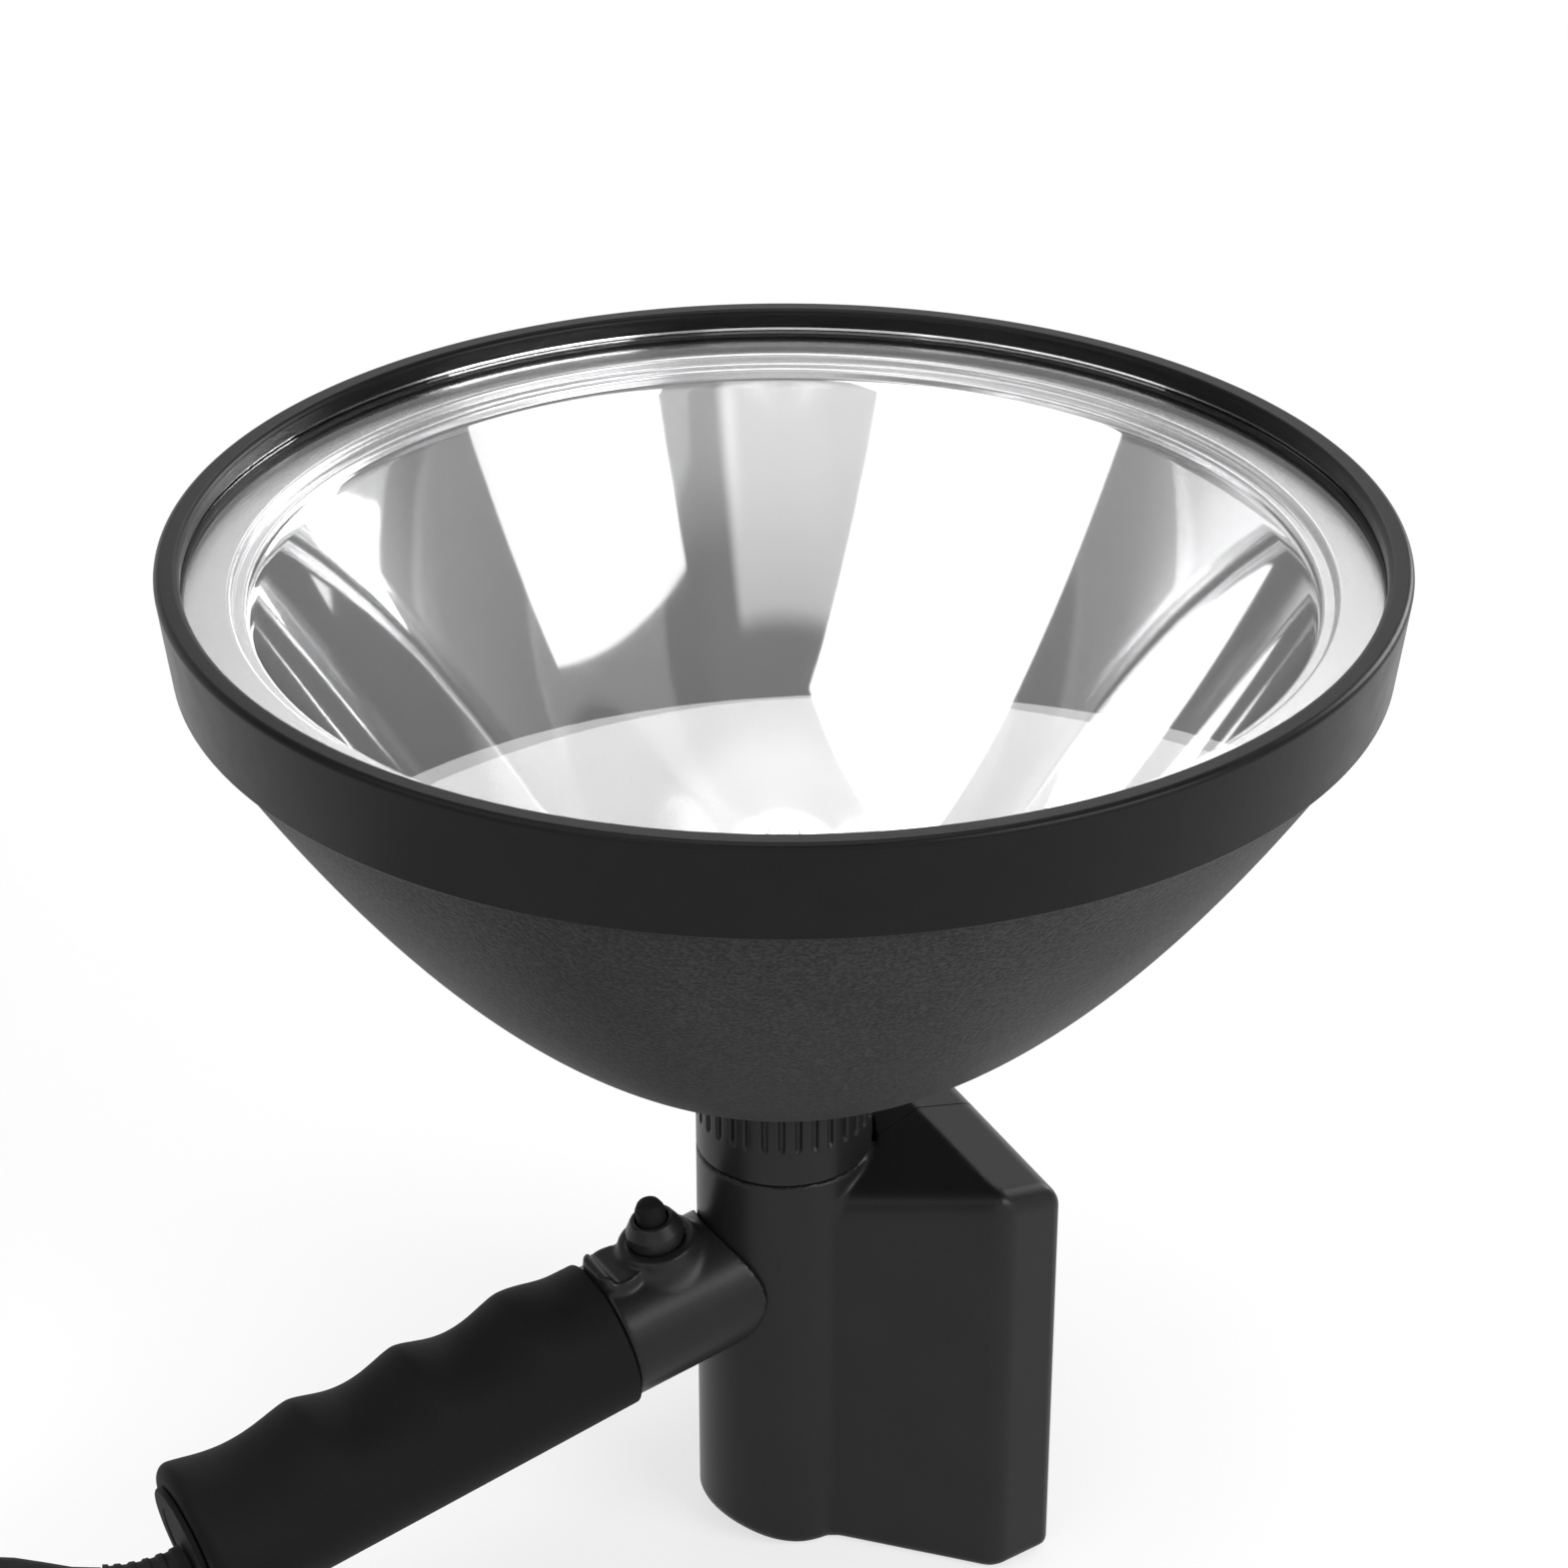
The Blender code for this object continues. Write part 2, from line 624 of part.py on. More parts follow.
def build_cover(plastic):
    """The far part of the ballast box, closed against the body along the seam."""
    cover = box_body("ballast_cover", plastic)
    cavity = box_body("far_cavity_guide", plastic, BOX_WALL)
    cut(cavity, recess_wall("far_recess_wall_guide", plastic))
    cut(cover, cavity)

    x = screw_column_x()
    in_wall = side_half_width(x) - BOX_WALL / 2
    well_radius = SCREW_HEAD_RADIUS + FIT_GAP
    head_seat = BOX_SEAM + SCREW_TOWER_LIP
    before_seam = BOX_SEAM - CUT_OVERRUN
    for number, height in enumerate(tower_heights(), 1):
        ends = (before_seam, in_wall)
        outline = [(well_radius + SCREW_TOWER_WALL, y) for y in ends]
        join(cover, turned_along_y(f"far_tower_{number}_guide", x, height, outline, plastic))
        outline = [
            (SCREW_RADIUS + FIT_GAP, before_seam - CUT_OVERRUN),
            (SCREW_RADIUS + FIT_GAP, head_seat),
            (well_radius, head_seat),
            (well_radius, BOX_HALF_WIDTH + CUT_OVERRUN),
        ]
        cut(cover, turned_along_y(f"far_well_{number}_guide", x, height, outline, plastic))

    tube_room = turned(
        "tube_room_guide",
        ring_outline(0, TUBE_RADIUS + FIT_GAP, -CUT_OVERRUN, BOX_RIDGE_HEIGHT + CUT_OVERRUN),
        plastic,
        TUBE_SIDES,
    )
    cut(cover, tube_room)
    collar_room = turned(
        "collar_room_guide",
        ring_outline(
            0, TUBE_RADIUS + COLLAR_RECESS_GAP, TUBE_HEIGHT - RUN_GAP, BOX_RIDGE_HEIGHT + CUT_OVERRUN
        ),
        plastic,
        TUBE_SIDES,
    )
    cut(cover, collar_room)
    far_side = block(
        "far_side_guide",
        (-BOX_END, BOX_SEAM + FIT_GAP / 2, -CUT_OVERRUN),
        (BOX_END + CUT_OVERRUN, BOX_HALF_WIDTH + CUT_OVERRUN, BOX_RIDGE_HEIGHT + CUT_OVERRUN),
        plastic,
    )
    keep(cover, far_side)
    return cover


def build_cover_screws(steel):
    """The two long screws, at the bottom of the cover's wells."""
    for number, height in enumerate(tower_heights(), 1):
        seat = BOX_SEAM + SCREW_TOWER_LIP + FIT_GAP
        place = guide(
            f"screw_{number}_place", location=(screw_column_x(), seat, height), rotation=(-math.pi / 2, 0, 0)
        )
        outline = [
            (0, FIT_GAP - SCREW_LENGTH + SCREW_TOWER_LIP),
            (SCREW_RADIUS, FIT_GAP - SCREW_LENGTH + SCREW_TOWER_LIP + SCREW_RADIUS),
            (SCREW_RADIUS, 0),
            (SCREW_HEAD_RADIUS, 0),
            (SCREW_HEAD_RADIUS, SCREW_HEAD_HEIGHT),
            (SCREW_SOCKET_RADIUS, SCREW_HEAD_HEIGHT),
            (SCREW_SOCKET_RADIUS, SCREW_HEAD_HEIGHT - SCREW_SOCKET_DEPTH),
            (0, SCREW_HEAD_HEIGHT - SCREW_SOCKET_DEPTH),
        ]
        turned(f"cover_screw_{number}", outline, steel, PIN_SIDES, place)


def build_ballast(metal):
    """The electronics pack, between the two screw towers."""
    low, high = tower_heights()
    middle = (low + high) / 2
    x1 = BOX_CAVITY_END - FIT_GAP
    x0 = x1 - BALLAST_THICKNESS
    half = BALLAST_WIDTH / 2
    corners = [(x0, -half), (x1, -half), (x1, half), (x0, half)]
    z0 = middle - BALLAST_HEIGHT / 2
    z1 = middle + BALLAST_HEIGHT / 2
    rings = []
    for inset, z in ((BALLAST_EDGE, z0), (0, z0 + BALLAST_EDGE), (0, z1 - BALLAST_EDGE), (BALLAST_EDGE, z1)):
        rings.append([(p.x, p.y, z) for p in inset_corners(corners, inset)])
    return lofted("ballast_module", rings, metal)


def build_spigot(metal, nut_metal):
    """The tube that carries the head, with slots for the lamp carrier's lugs, and its ring nut."""
    foot_radius = TUBE_BORE - FIT_GAP
    outline = [
        (SPIGOT_BORE, TUBE_HEIGHT - SPIGOT_FOOT_LENGTH),
        (foot_radius, TUBE_HEIGHT - SPIGOT_FOOT_LENGTH),
        (foot_radius, TUBE_HEIGHT - RUN_GAP),
        (SPIGOT_RADIUS, TUBE_HEIGHT - RUN_GAP),
        (SPIGOT_RADIUS, NUT_SEAT_Z),
        (SPIGOT_THREAD_RADIUS, NUT_SEAT_Z),
        (SPIGOT_THREAD_RADIUS, SPIGOT_TOP_Z),
        (SPIGOT_BORE, SPIGOT_TOP_Z),
    ]
    spigot = turned("head_spigot", outline, metal, TUBE_SIDES // 2)
    middle = CARRIER_Z + CARRIER_HEIGHT / 2
    half = LUG_HEIGHT / 2 + LAMP_TRAVEL + RUN_GAP
    slot = block(
        "lug_slot_guide",
        (-SPIGOT_RADIUS - CUT_OVERRUN, -LUG_WIDTH / 2 - RUN_GAP, middle - half),
        (SPIGOT_RADIUS + CUT_OVERRUN, LUG_WIDTH / 2 + RUN_GAP, middle + half),
        metal,
    )
    cut(spigot, slot)
    turned(
        "head_nut",
        ring_outline(SPIGOT_THREAD_RADIUS + FIT_GAP, HEAD_NUT_RADIUS, NUT_SEAT_Z, SPIGOT_TOP_Z),
        nut_metal,
        PIN_SIDES,
    )


def build_lamp(carrier_plastic, ceramic, glass):
    """Carrier, base and capsule, which slide together along the beam axis."""
    place = guide("lamp_slide", location=(0, 0, 0))
    body_radius = SPIGOT_BORE - RUN_GAP
    top = CARRIER_Z + CARRIER_HEIGHT
    stem_top = LAMP_BASE_Z - FIT_GAP
    outline = [
        (CARRIER_BORE_RADIUS, CARRIER_Z),
        (body_radius, CARRIER_Z),
        (body_radius, top),
        (CARRIER_STEM_RADIUS, top),
        (CARRIER_STEM_RADIUS, stem_top),
        (CARRIER_BORE_RADIUS, stem_top),
    ]
    carrier = turned("lamp_carrier", outline, carrier_plastic, TUBE_SIDES // 2, place)
    middle = CARRIER_Z + CARRIER_HEIGHT / 2
    reach = body_radius + LUG_REACH
    for side in (-1, 1):
        near, far = sorted((side * (body_radius - LUG_REACH), side * reach))
        lug = block(
            f"lug_{'left' if side < 0 else 'right'}_guide",
            (near, -LUG_WIDTH / 2, middle - LUG_HEIGHT / 2),
            (far, LUG_WIDTH / 2, middle + LUG_HEIGHT / 2),
            carrier_plastic,
            place,
        )
        join(carrier, lug)

    flange_top = LAMP_BASE_Z + LAMP_BASE_FLANGE_HEIGHT
    base_top = LAMP_BASE_Z + LAMP_BASE_HEIGHT
    outline = [
        (0, LAMP_BASE_Z),
        (LAMP_BASE_FLANGE_RADIUS, LAMP_BASE_Z),
        (LAMP_BASE_FLANGE_RADIUS, flange_top),
        (LAMP_BASE_RADIUS, flange_top),
        (LAMP_BASE_RADIUS, base_top),
        (0, base_top),
    ]
    turned("lamp_base", outline, ceramic, TUBE_SIDES // 2, place)
    foot = base_top + FIT_GAP
    length = LIGHT_CENTRE_Z + LAMP_TIP_LENGTH - foot
    neck = LAMP_RADIUS * 2
    outline = [(0, foot), (LAMP_PINCH_RADIUS, foot), (LAMP_PINCH_RADIUS, foot + LAMP_PINCH_RADIUS)]
    outline.append((LAMP_RADIUS, foot + LAMP_PINCH_RADIUS + LAMP_RADIUS / 2))
    for radius, height in TIP_ROUND_SHARES:
        outline.append((radius * LAMP_RADIUS, foot + length - neck + height * neck))
    turned("lamp_capsule", outline, glass, TUBE_SIDES // 2, place)


def build_collar(plastic):
    """The ribbed focus collar under the bowl."""
    neck_top = COLLAR_TOP_Z + COLLAR_NECK_LENGTH
    outline = [
        (COLLAR_BORE, COLLAR_FOOT_Z),
        (TUBE_RADIUS, COLLAR_FOOT_Z),
        (TUBE_RADIUS, COLLAR_TOP_Z),
        (COLLAR_NECK_RADIUS, COLLAR_TOP_Z),
        (COLLAR_NECK_RADIUS, neck_top),
        (COLLAR_BORE, neck_top),
    ]
    collar = turned("focus_collar", outline, plastic, COLLAR_RIBS * 2)
    bm = bmesh.new()
    low = COLLAR_FOOT_Z + COLLAR_RIB_START
    centre = Vector((TUBE_RADIUS, 0, low + COLLAR_RIB_LENGTH / 2))
    size = Matrix.Diagonal((COLLAR_GROOVE_DEPTH * 2, COLLAR_GROOVE_WIDTH, COLLAR_RIB_LENGTH, 1))
    for rib in range(COLLAR_RIBS):
        turn = Matrix.Rotation(2 * math.pi * (rib + 0.25) / COLLAR_RIBS, 4, "Z")
        bmesh.ops.create_cube(bm, size=1, matrix=turn @ Matrix.Translation(centre) @ size)
    grooves = finish_object("grooves_guide", mesh_from(bm, "grooves"), plastic)
    cut(collar, grooves)
    return collar


def bowl_outline(radius_low, radius_high, z_low, z_high, steps):
    """Points of a bowl whose radius squared grows evenly with its height, from the foot up."""
    slope = (radius_high**2 - radius_low**2) / (z_high - z_low)
    points = []
    for i in range(steps + 1):
        radius = radius_low + (radius_high - radius_low) * i / steps
        points.append((radius, z_low + (radius**2 - radius_low**2) / slope))
    return points, slope


def offset_bowl(points, slope, wall):
    """The same bowl one wall further in (or out, with a negative wall)."""
    moved = []
    for radius, height in points:
        normal = Vector((1, -slope / (2 * radius))).normalized()
        moved.append((radius - wall * normal.x, height - wall * normal.y))
    return moved


def build_housing(plastic):
    """The grained bowl, with a rim that goes up inside the bezel."""
    outer, slope = bowl_outline(TUBE_RADIUS, HOUSING_RIM_RADIUS, HOUSING_FOOT_Z, BEZEL_FOOT_Z, HOUSING_STEPS)
    inner = offset_bowl(outer, slope, HOUSING_WALL)[:-1]
    rim_bore = HOUSING_RIM_RADIUS - HOUSING_WALL
    neck_bore = COLLAR_NECK_RADIUS + FIT_GAP
    outline = [
        (neck_bore, HOUSING_FOOT_Z),
        *outer,
        (HOUSING_RIM_RADIUS, HOUSING_TOP_Z),
        (rim_bore, HOUSING_TOP_Z),
        (rim_bore, BEZEL_FOOT_Z),
        *reversed(inner),
        (neck_bore, inner[0][1]),
    ]
    return turned("head_housing", outline, plastic, HEAD_SIDES)


def build_reflector(mirror):
    """The mirror: a paraboloid with a stepped ring and the flange under the glass."""
    hole_z = REFLECTOR_VERTEX_Z + REFLECTOR_HOLE_RADIUS**2 / (4 * FOCAL_LENGTH)
    inner, slope = bowl_outline(REFLECTOR_HOLE_RADIUS, MOUTH_RADIUS, hole_z, MOUTH_Z, REFLECTOR_STEPS)
    outer = offset_bowl(inner, slope, -REFLECTOR_WALL)
    outer[0] = (REFLECTOR_HOLE_RADIUS, hole_z - REFLECTOR_WALL)
    lip_radius = MOUTH_RADIUS + REFLECTOR_EDGE
    outline = [
        *inner,
        (lip_radius, MOUTH_Z + REFLECTOR_EDGE),
        (lip_radius, STEP_Z - REFLECTOR_EDGE),
        (lip_radius + REFLECTOR_EDGE, STEP_Z),
        (STEP_RADIUS, STEP_Z),
        (STEP_RADIUS, FLANGE_TOP_Z),
        (FLANGE_RADIUS, FLANGE_TOP_Z),
        (FLANGE_RADIUS, FLANGE_FOOT_Z),
        (STEP_RADIUS + REFLECTOR_WALL, FLANGE_FOOT_Z),
        (STEP_RADIUS + REFLECTOR_WALL, STEP_Z - REFLECTOR_WALL),
        (lip_radius + REFLECTOR_WALL, STEP_Z - REFLECTOR_WALL),
        *reversed(outer),
    ]
    return turned("reflector", outline, mirror, HEAD_SIDES)


def build_front(plastic, glass, rubber):
    """Bezel ring, front glass and the seal under the glass."""
    lip_foot = RIM_Z - LIP_THICKNESS
    outline = [
        (BEZEL_BORE, BEZEL_FOOT_Z),
        (BEZEL_FOOT_RADIUS, BEZEL_FOOT_Z),
        (RIM_RADIUS, RIM_Z - BEZEL_EDGE),
        (RIM_RADIUS - BEZEL_EDGE, RIM_Z),
        (LIP_RADIUS + BEZEL_EDGE, RIM_Z),
        (LIP_RADIUS, RIM_Z - BEZEL_EDGE),
        (LIP_RADIUS, lip_foot),
        (BEZEL_BORE, lip_foot),
    ]
    turned("bezel_ring", outline, plastic, HEAD_SIDES)
    turned("front_lens", ring_outline(0, LENS_RADIUS, LENS_FOOT_Z, LENS_TOP_Z), glass, HEAD_SIDES)
    turned(
        "lens_gasket",
        ring_outline(LENS_RADIUS - GASKET_WIDTH, LENS_RADIUS, GASKET_FOOT_Z, GASKET_TOP_Z),
        rubber,
        HEAD_SIDES,
    )


def handle_frame(name):
    """A guide at the handle's root whose Z runs down the handle and whose X points to the beam side."""
    return guide(name, location=HANDLE_ROOT, rotation=(0, -math.pi / 2 - HANDLE_RAKE, 0))


def switch_frame(name):
    """A guide on the handle's axis under the switch, whose Z is the switch's axis."""
    place = HANDLE_ROOT + HANDLE_AXIS * SWITCH_POSITION
    return guide(name, location=place, rotation=(0, -HANDLE_RAKE, 0))


def build_neck(plastic):
    """The smooth neck with its saddle and switch boss, and the core inside the grip."""
    place = handle_frame("neck_place")
    outline = [
        (0, TUBE_BORE),
        (NECK_RADIUS, TUBE_BORE),
        (NECK_RADIUS, NECK_END),
        (CORE_RADIUS, NECK_END),
        (CORE_RADIUS, CORE_END),
        (0, CORE_END),
    ]
    neck = turned("handle_neck", outline, plastic, TUBE_SIDES // 2, place)
    across = switch_frame("boss_place")
    boss = turned("boss_guide", ring_outline(0, BOSS_RADIUS, 0, BOSS_HEIGHT), plastic, PIN_SIDES, across)
    join(neck, boss)
    tab_place = guide("tab_place", across, (SWITCH_POSITION - TAB_POSITION, 0, 0))
    tab_outline = ring_outline(0, TAB_RADIUS, 0, BOSS_HEIGHT - TAB_STEP)
    tab = turned("tab_guide", tab_outline, plastic, PIN_SIDES, tab_place)
    tab_end = block(
        "tab_end_guide",
        (-CUT_OVERRUN, -BOSS_RADIUS, NECK_END),
        (TAB_HEIGHT + CUT_OVERRUN, BOSS_RADIUS, NECK_END + 2 * TAB_RADIUS),
        plastic,
        place,
    )
    cut(tab, tab_end)
    join(neck, tab)
    rib = block(
        "rib_guide",
        (0, -TAB_RADIUS + TAB_STEP, NECK_END - TAB_STEP),
        (TAB_HEIGHT, TAB_RADIUS - TAB_STEP, NECK_END),
        plastic,
        place,
    )
    join(neck, rib)
    saddle = turned(
        "saddle_guide",
        ring_outline(0, TUBE_RADIUS + FIT_GAP, -CUT_OVERRUN, BOX_RIDGE_HEIGHT + CUT_OVERRUN),
        plastic,
        TUBE_SIDES,
    )
    cut(neck, saddle)
    pocket_floor = BOSS_HEIGHT - SWITCH_BODY_LENGTH - FIT_GAP
    pocket = turned(
        "pocket_guide",
        ring_outline(0, SWITCH_BODY_RADIUS + FIT_GAP, pocket_floor, BOSS_HEIGHT + CUT_OVERRUN),
        plastic,
        PIN_SIDES,
        across,
    )
    cut(neck, pocket)
    nipple_end = SWITCH_POSITION - FIT_GAP
    bore_outline = [
        (0, TUBE_BORE - CUT_OVERRUN),
        (NIPPLE_RADIUS + FIT_GAP, TUBE_BORE - CUT_OVERRUN),
        (NIPPLE_RADIUS + FIT_GAP, nipple_end),
        (WIRE_BORE_RADIUS, nipple_end),
        (WIRE_BORE_RADIUS, CORE_END + CUT_OVERRUN),
        (0, CORE_END + CUT_OVERRUN),
    ]
    cut(neck, turned("neck_bore_guide", bore_outline, plastic, PIN_SIDES, place))
    return neck


def build_nipple(metal):
    """The hollow bolt that holds the handle to the tube, and its nut."""
    place = handle_frame("nipple_place")
    start = PAD_FACE - FIT_GAP - NUT_HEIGHT - FIT_GAP
    end = SWITCH_POSITION - 2 * FIT_GAP
    outline = ring_outline(NIPPLE_RADIUS - NIPPLE_WALL, NIPPLE_RADIUS, start, end)
    turned("handle_nipple", outline, metal, PIN_SIDES, place)
    nut_outline = ring_outline(0, NUT_RADIUS, start + FIT_GAP, PAD_FACE - FIT_GAP)
    nut = turned("nipple_nut", nut_outline, metal, NUT_SIDES, place)
    hole = turned(
        "nut_hole_guide",
        ring_outline(0, NIPPLE_RADIUS + FIT_GAP, start - CUT_OVERRUN, PAD_FACE + CUT_OVERRUN),
        metal,
        PIN_SIDES,
        place,
    )
    cut(nut, hole)


def ridge_places():
    """Distances of the grip's finger ridges from its neck end; the last one is at the butt."""
    places = [GROOVE_FIRST_RIDGE + i * GROOVE_PITCH for i in range(GROOVE_COUNT)]
    return [*places, GRIP_LENGTH - GRIP_EDGE / 2]


def grip_radius(along, angle):
    """The grip's radius at a distance from its neck end; the angle is from the beam side."""
    share = along / GRIP_LENGTH
    plain = GRIP_NECK_RADIUS + (GRIP_BUTT_RADIUS - GRIP_NECK_RADIUS) * share
    ridge = GRIP_RIDGE_RADIUS + (GRIP_LAST_RIDGE_RADIUS - GRIP_RIDGE_RADIUS) * share
    places = ridge_places()
    if along < places[0]:
        lead_in = max(0, along - GRIP_PLAIN_LENGTH) / (places[0] - GRIP_PLAIN_LENGTH)
        top = GRIP_NECK_RADIUS + (ridge - GRIP_NECK_RADIUS) * (1 - math.cos(math.pi * lead_in)) / 2
    else:
        top = ridge
        for before, after in zip(places, places[1:]):
            if before <= along < after:
                phase = 2 * math.pi * (along - before) / (after - before)
                top = ridge - GROOVE_DEPTH * (1 - math.cos(phase)) / 2
    facing = max(0, math.cos(angle)) ** FACING_SHARE
    return plain + facing * (top - plain)


def build_grip(rubber):
    """The grooved sleeve on the core."""
    place = handle_frame("grip_place")
    rings = []
    for i in range(GRIP_STATIONS + 1):
        along = GRIP_LENGTH * i / GRIP_STATIONS
        to_end = GRIP_LENGTH - along
        round_in = 0
        if to_end < GRIP_EDGE:
            round_in = GRIP_EDGE - math.sqrt(GRIP_EDGE**2 - (GRIP_EDGE - to_end) ** 2)
        ring = []
        for k in range(GRIP_SIDES):
            angle = 2 * math.pi * k / GRIP_SIDES
            radius = grip_radius(along, angle) - round_in
            ring.append((radius * math.cos(angle), radius * math.sin(angle), GRIP_START + along))
        rings.append(ring)
    grip = lofted("handle_grip", rings, rubber, place)
    bore = turned(
        "grip_bore_guide",
        ring_outline(0, CORE_RADIUS + FIT_GAP, GRIP_START - CUT_OVERRUN, GRIP_END + CUT_OVERRUN),
        rubber,
        GRIP_SIDES,
        place,
    )
    cut(grip, bore)


def build_butt(plastic, rubber):
    """The cap at the end of the grip and the bent strain relief on it."""
    place = handle_frame("butt_place")
    face = GRIP_END + FIT_GAP
    outline = [
        (0, CORE_END + FIT_GAP),
        (CORE_RADIUS, CORE_END + FIT_GAP),
        (CORE_RADIUS, face),
        (BUTT_CAP_RADIUS, face),
        (BUTT_CAP_RADIUS, face + BUTT_CAP_THICKNESS / 2),
        (BUTT_CAP_RADIUS - BUTT_CAP_THICKNESS / 2, face + BUTT_CAP_THICKNESS),
        (0, face + BUTT_CAP_THICKNESS),
    ]
    turned("butt_cap", outline, plastic, TUBE_SIDES // 2, place)
    points = relief_points()
    count = len(points)
    radii = []
    for i in range(count):
        radii.append(1 + (RELIEF_TIP_RADIUS / RELIEF_RADIUS - 1) * i / (count - 1))
    cord_tube("strain_relief", points, RELIEF_RADIUS, rubber, 3, radii)


def relief_direction():
    """Where the strain relief points: a little to +Y and a little up."""
    level = Vector((-math.cos(RELIEF_TURN), math.sin(RELIEF_TURN), 0))
    return (level * math.cos(RELIEF_RISE) + Vector((0, 0, math.sin(RELIEF_RISE)))).normalized()


def relief_points():
    """The strain relief's middle line, from the butt cap to its tip."""
    start = HANDLE_ROOT + HANDLE_AXIS * (GRIP_END + BUTT_CAP_THICKNESS + 2 * FIT_GAP) - HANDLE_UP * RELIEF_DROP
    bend = start + HANDLE_AXIS * RELIEF_LENGTH
    tip = bend + relief_direction() * RELIEF_LENGTH
    points = []
    for i in range(RELIEF_STEPS + 1):
        t = i / RELIEF_STEPS
        points.append(start * (1 - t) ** 2 + bend * (2 * t * (1 - t)) + tip * t**2)
    return points


def build_switch(plastic, metal, rubber):
    """Switch body in its pocket, the ring on the boss and the boot that is pressed."""
    place = switch_frame("switch_place")
    body_top = BOSS_HEIGHT
    body_foot = BOSS_HEIGHT - SWITCH_BODY_LENGTH
    stem_radius = BOOT_STEM_RADIUS + RUN_GAP
    ring_foot = BOSS_HEIGHT + FIT_GAP
    boot_foot = ring_foot + BOOT_TRAVEL + FIT_GAP
    well = boot_foot - BOOT_STEM_LENGTH - BOOT_TRAVEL - FIT_GAP
    outline = [
        (0, body_foot),
        (SWITCH_BODY_RADIUS, body_foot),
        (SWITCH_BODY_RADIUS, body_top),
        (stem_radius, body_top),
        (stem_radius, well),
        (0, well),
    ]
    turned("switch_body", outline, plastic, PIN_SIDES, place)
    inner = BOOT_RADIUS + RUN_GAP
    top = ring_foot + SWITCH_RING_HEIGHT
    outline = [
        (inner, ring_foot),
        (SWITCH_RING_RADIUS, ring_foot),
        (SWITCH_RING_RADIUS, ring_foot + SWITCH_RING_SIDE),
        (SWITCH_RING_TOP_RADIUS, top),
        (inner, top),
    ]
    turned("switch_ring", outline, metal, PIN_SIDES, place)
    outline = [(0, boot_foot - BOOT_STEM_LENGTH), (BOOT_STEM_RADIUS, boot_foot - BOOT_STEM_LENGTH)]
    outline.append((BOOT_STEM_RADIUS, boot_foot))
    outline += [(radius * BOOT_RADIUS, boot_foot + height * BOOT_HEIGHT) for radius, height in BOOT_SHARES]
    turned("switch_boot", outline, rubber, PIN_SIDES, place)


def smooth_route(points, step):
    """Points at an even step along a smooth curve through a route, whose two end spans stay straight."""
    points = [Vector(point) for point in points]
    dense = []
    for a, b, c, d in zip(points, points[1:], points[2:], points[3:]):
        for i in range(ROUTE_FINENESS):
            t = i / ROUTE_FINENESS
            dense.append(
                0.5 * (2 * b + (c - a) * t + (2 * a - 5 * b + 4 * c - d) * t**2 + (3 * b - a - 3 * c + d) * t**3)
            )
    dense.append(points[-2])
    lengths = [0]
    for a, b in zip(dense, dense[1:]):
        lengths.append(lengths[-1] + (b - a).length)
    count = max(2, round(lengths[-1] / step))
    even = []
    k = 0
    for i in range(count + 1):
        want = lengths[-1] * i / count
        while k < len(dense) - 2 and lengths[k + 1] < want:
            k += 1
        span = lengths[k + 1] - lengths[k]
        even.append(dense[k].lerp(dense[k + 1], min(1, max(0, (want - lengths[k]) / span))))
    return [points[0], *even, points[-1]]


def cord_tube(name, points, radius, material, resolution, radii=None):
    """A round tube with filled ends along a line of points."""
    curve = bpy.data.curves.new(name, "CURVE")
    curve.dimensions = "3D"
    curve.bevel_depth = radius
    curve.bevel_resolution = resolution
    curve.use_fill_caps = True
    spline = curve.splines.new("POLY")
    spline.points.add(len(points) - 1)
    for i, (target, point) in enumerate(zip(spline.points, points)):
        target.co = (*point, 1)
        target.radius = radii[i] if radii else 1
    curve.materials.append(material)
    obj = bpy.data.objects.new(name, curve)
    bpy.context.collection.objects.link(obj)
    return obj


def coil_points():
    """The coil's middle line: layers that spiral in and out, climbing in the half turn between them."""
    stages = []
    for layer in range(COIL_LAYERS):
        going_in = layer % 2 == 0
        ends = (COIL_RADIUS, COIL_INNER_RADIUS) if going_in else (COIL_INNER_RADIUS, COIL_RADIUS)
        stages.append((COIL_TURNS_PER_LAYER, *ends, layer, layer))
        if layer < COIL_LAYERS - 1:
            stages.append((COIL_CLIMB_TURNS, ends[1], ends[1], layer, layer + 1))
    turn_so_far = 0.25
    points = []
    for turns, radius_from, radius_to, layer_from, layer_to in stages:
        count = round(turns * COIL_POINTS_PER_TURN)
        for i in range(count):
            share = i / count
            angle = 2 * math.pi * (turn_so_far + turns * share)
            radius = radius_from + (radius_to - radius_from) * share
            height = COIL_FLOOR_Z + COIL_PITCH * (layer_from + (layer_to - layer_from) * share)
            points.append(
                Vector((COIL_X + radius * math.cos(angle), COIL_Y + radius * math.sin(angle), height))
            )
        turn_so_far += turns
    angle = 2 * math.pi * turn_so_far
    last_radius = stages[-1][2]
    points.append(
        Vector((COIL_X + last_radius * math.cos(angle), COIL_Y + last_radius * math.sin(angle), COIL_TOP_Z))
    )
    straight = Vector((COIL_END_STRAIGHT, 0, 0))
    return [points[0] + straight, *points, points[-1] + straight]


def least_gap(points):
    """Least clear distance between loops of the coil, measured between all its spans."""
    spans = list(zip(points, points[1:]))
    apart = COIL_POINTS_PER_TURN // 2
    least = COIL_RADIUS
    for i, (a, b) in enumerate(spans):
        for c, d in spans[i + apart:]:
            if (a - c).length > least + 2 * CORD_RADIUS + (b - a).length + (d - c).length:
                continue
            least = min(least, span_distance(a, b, c, d) - 2 * CORD_RADIUS)
    return least


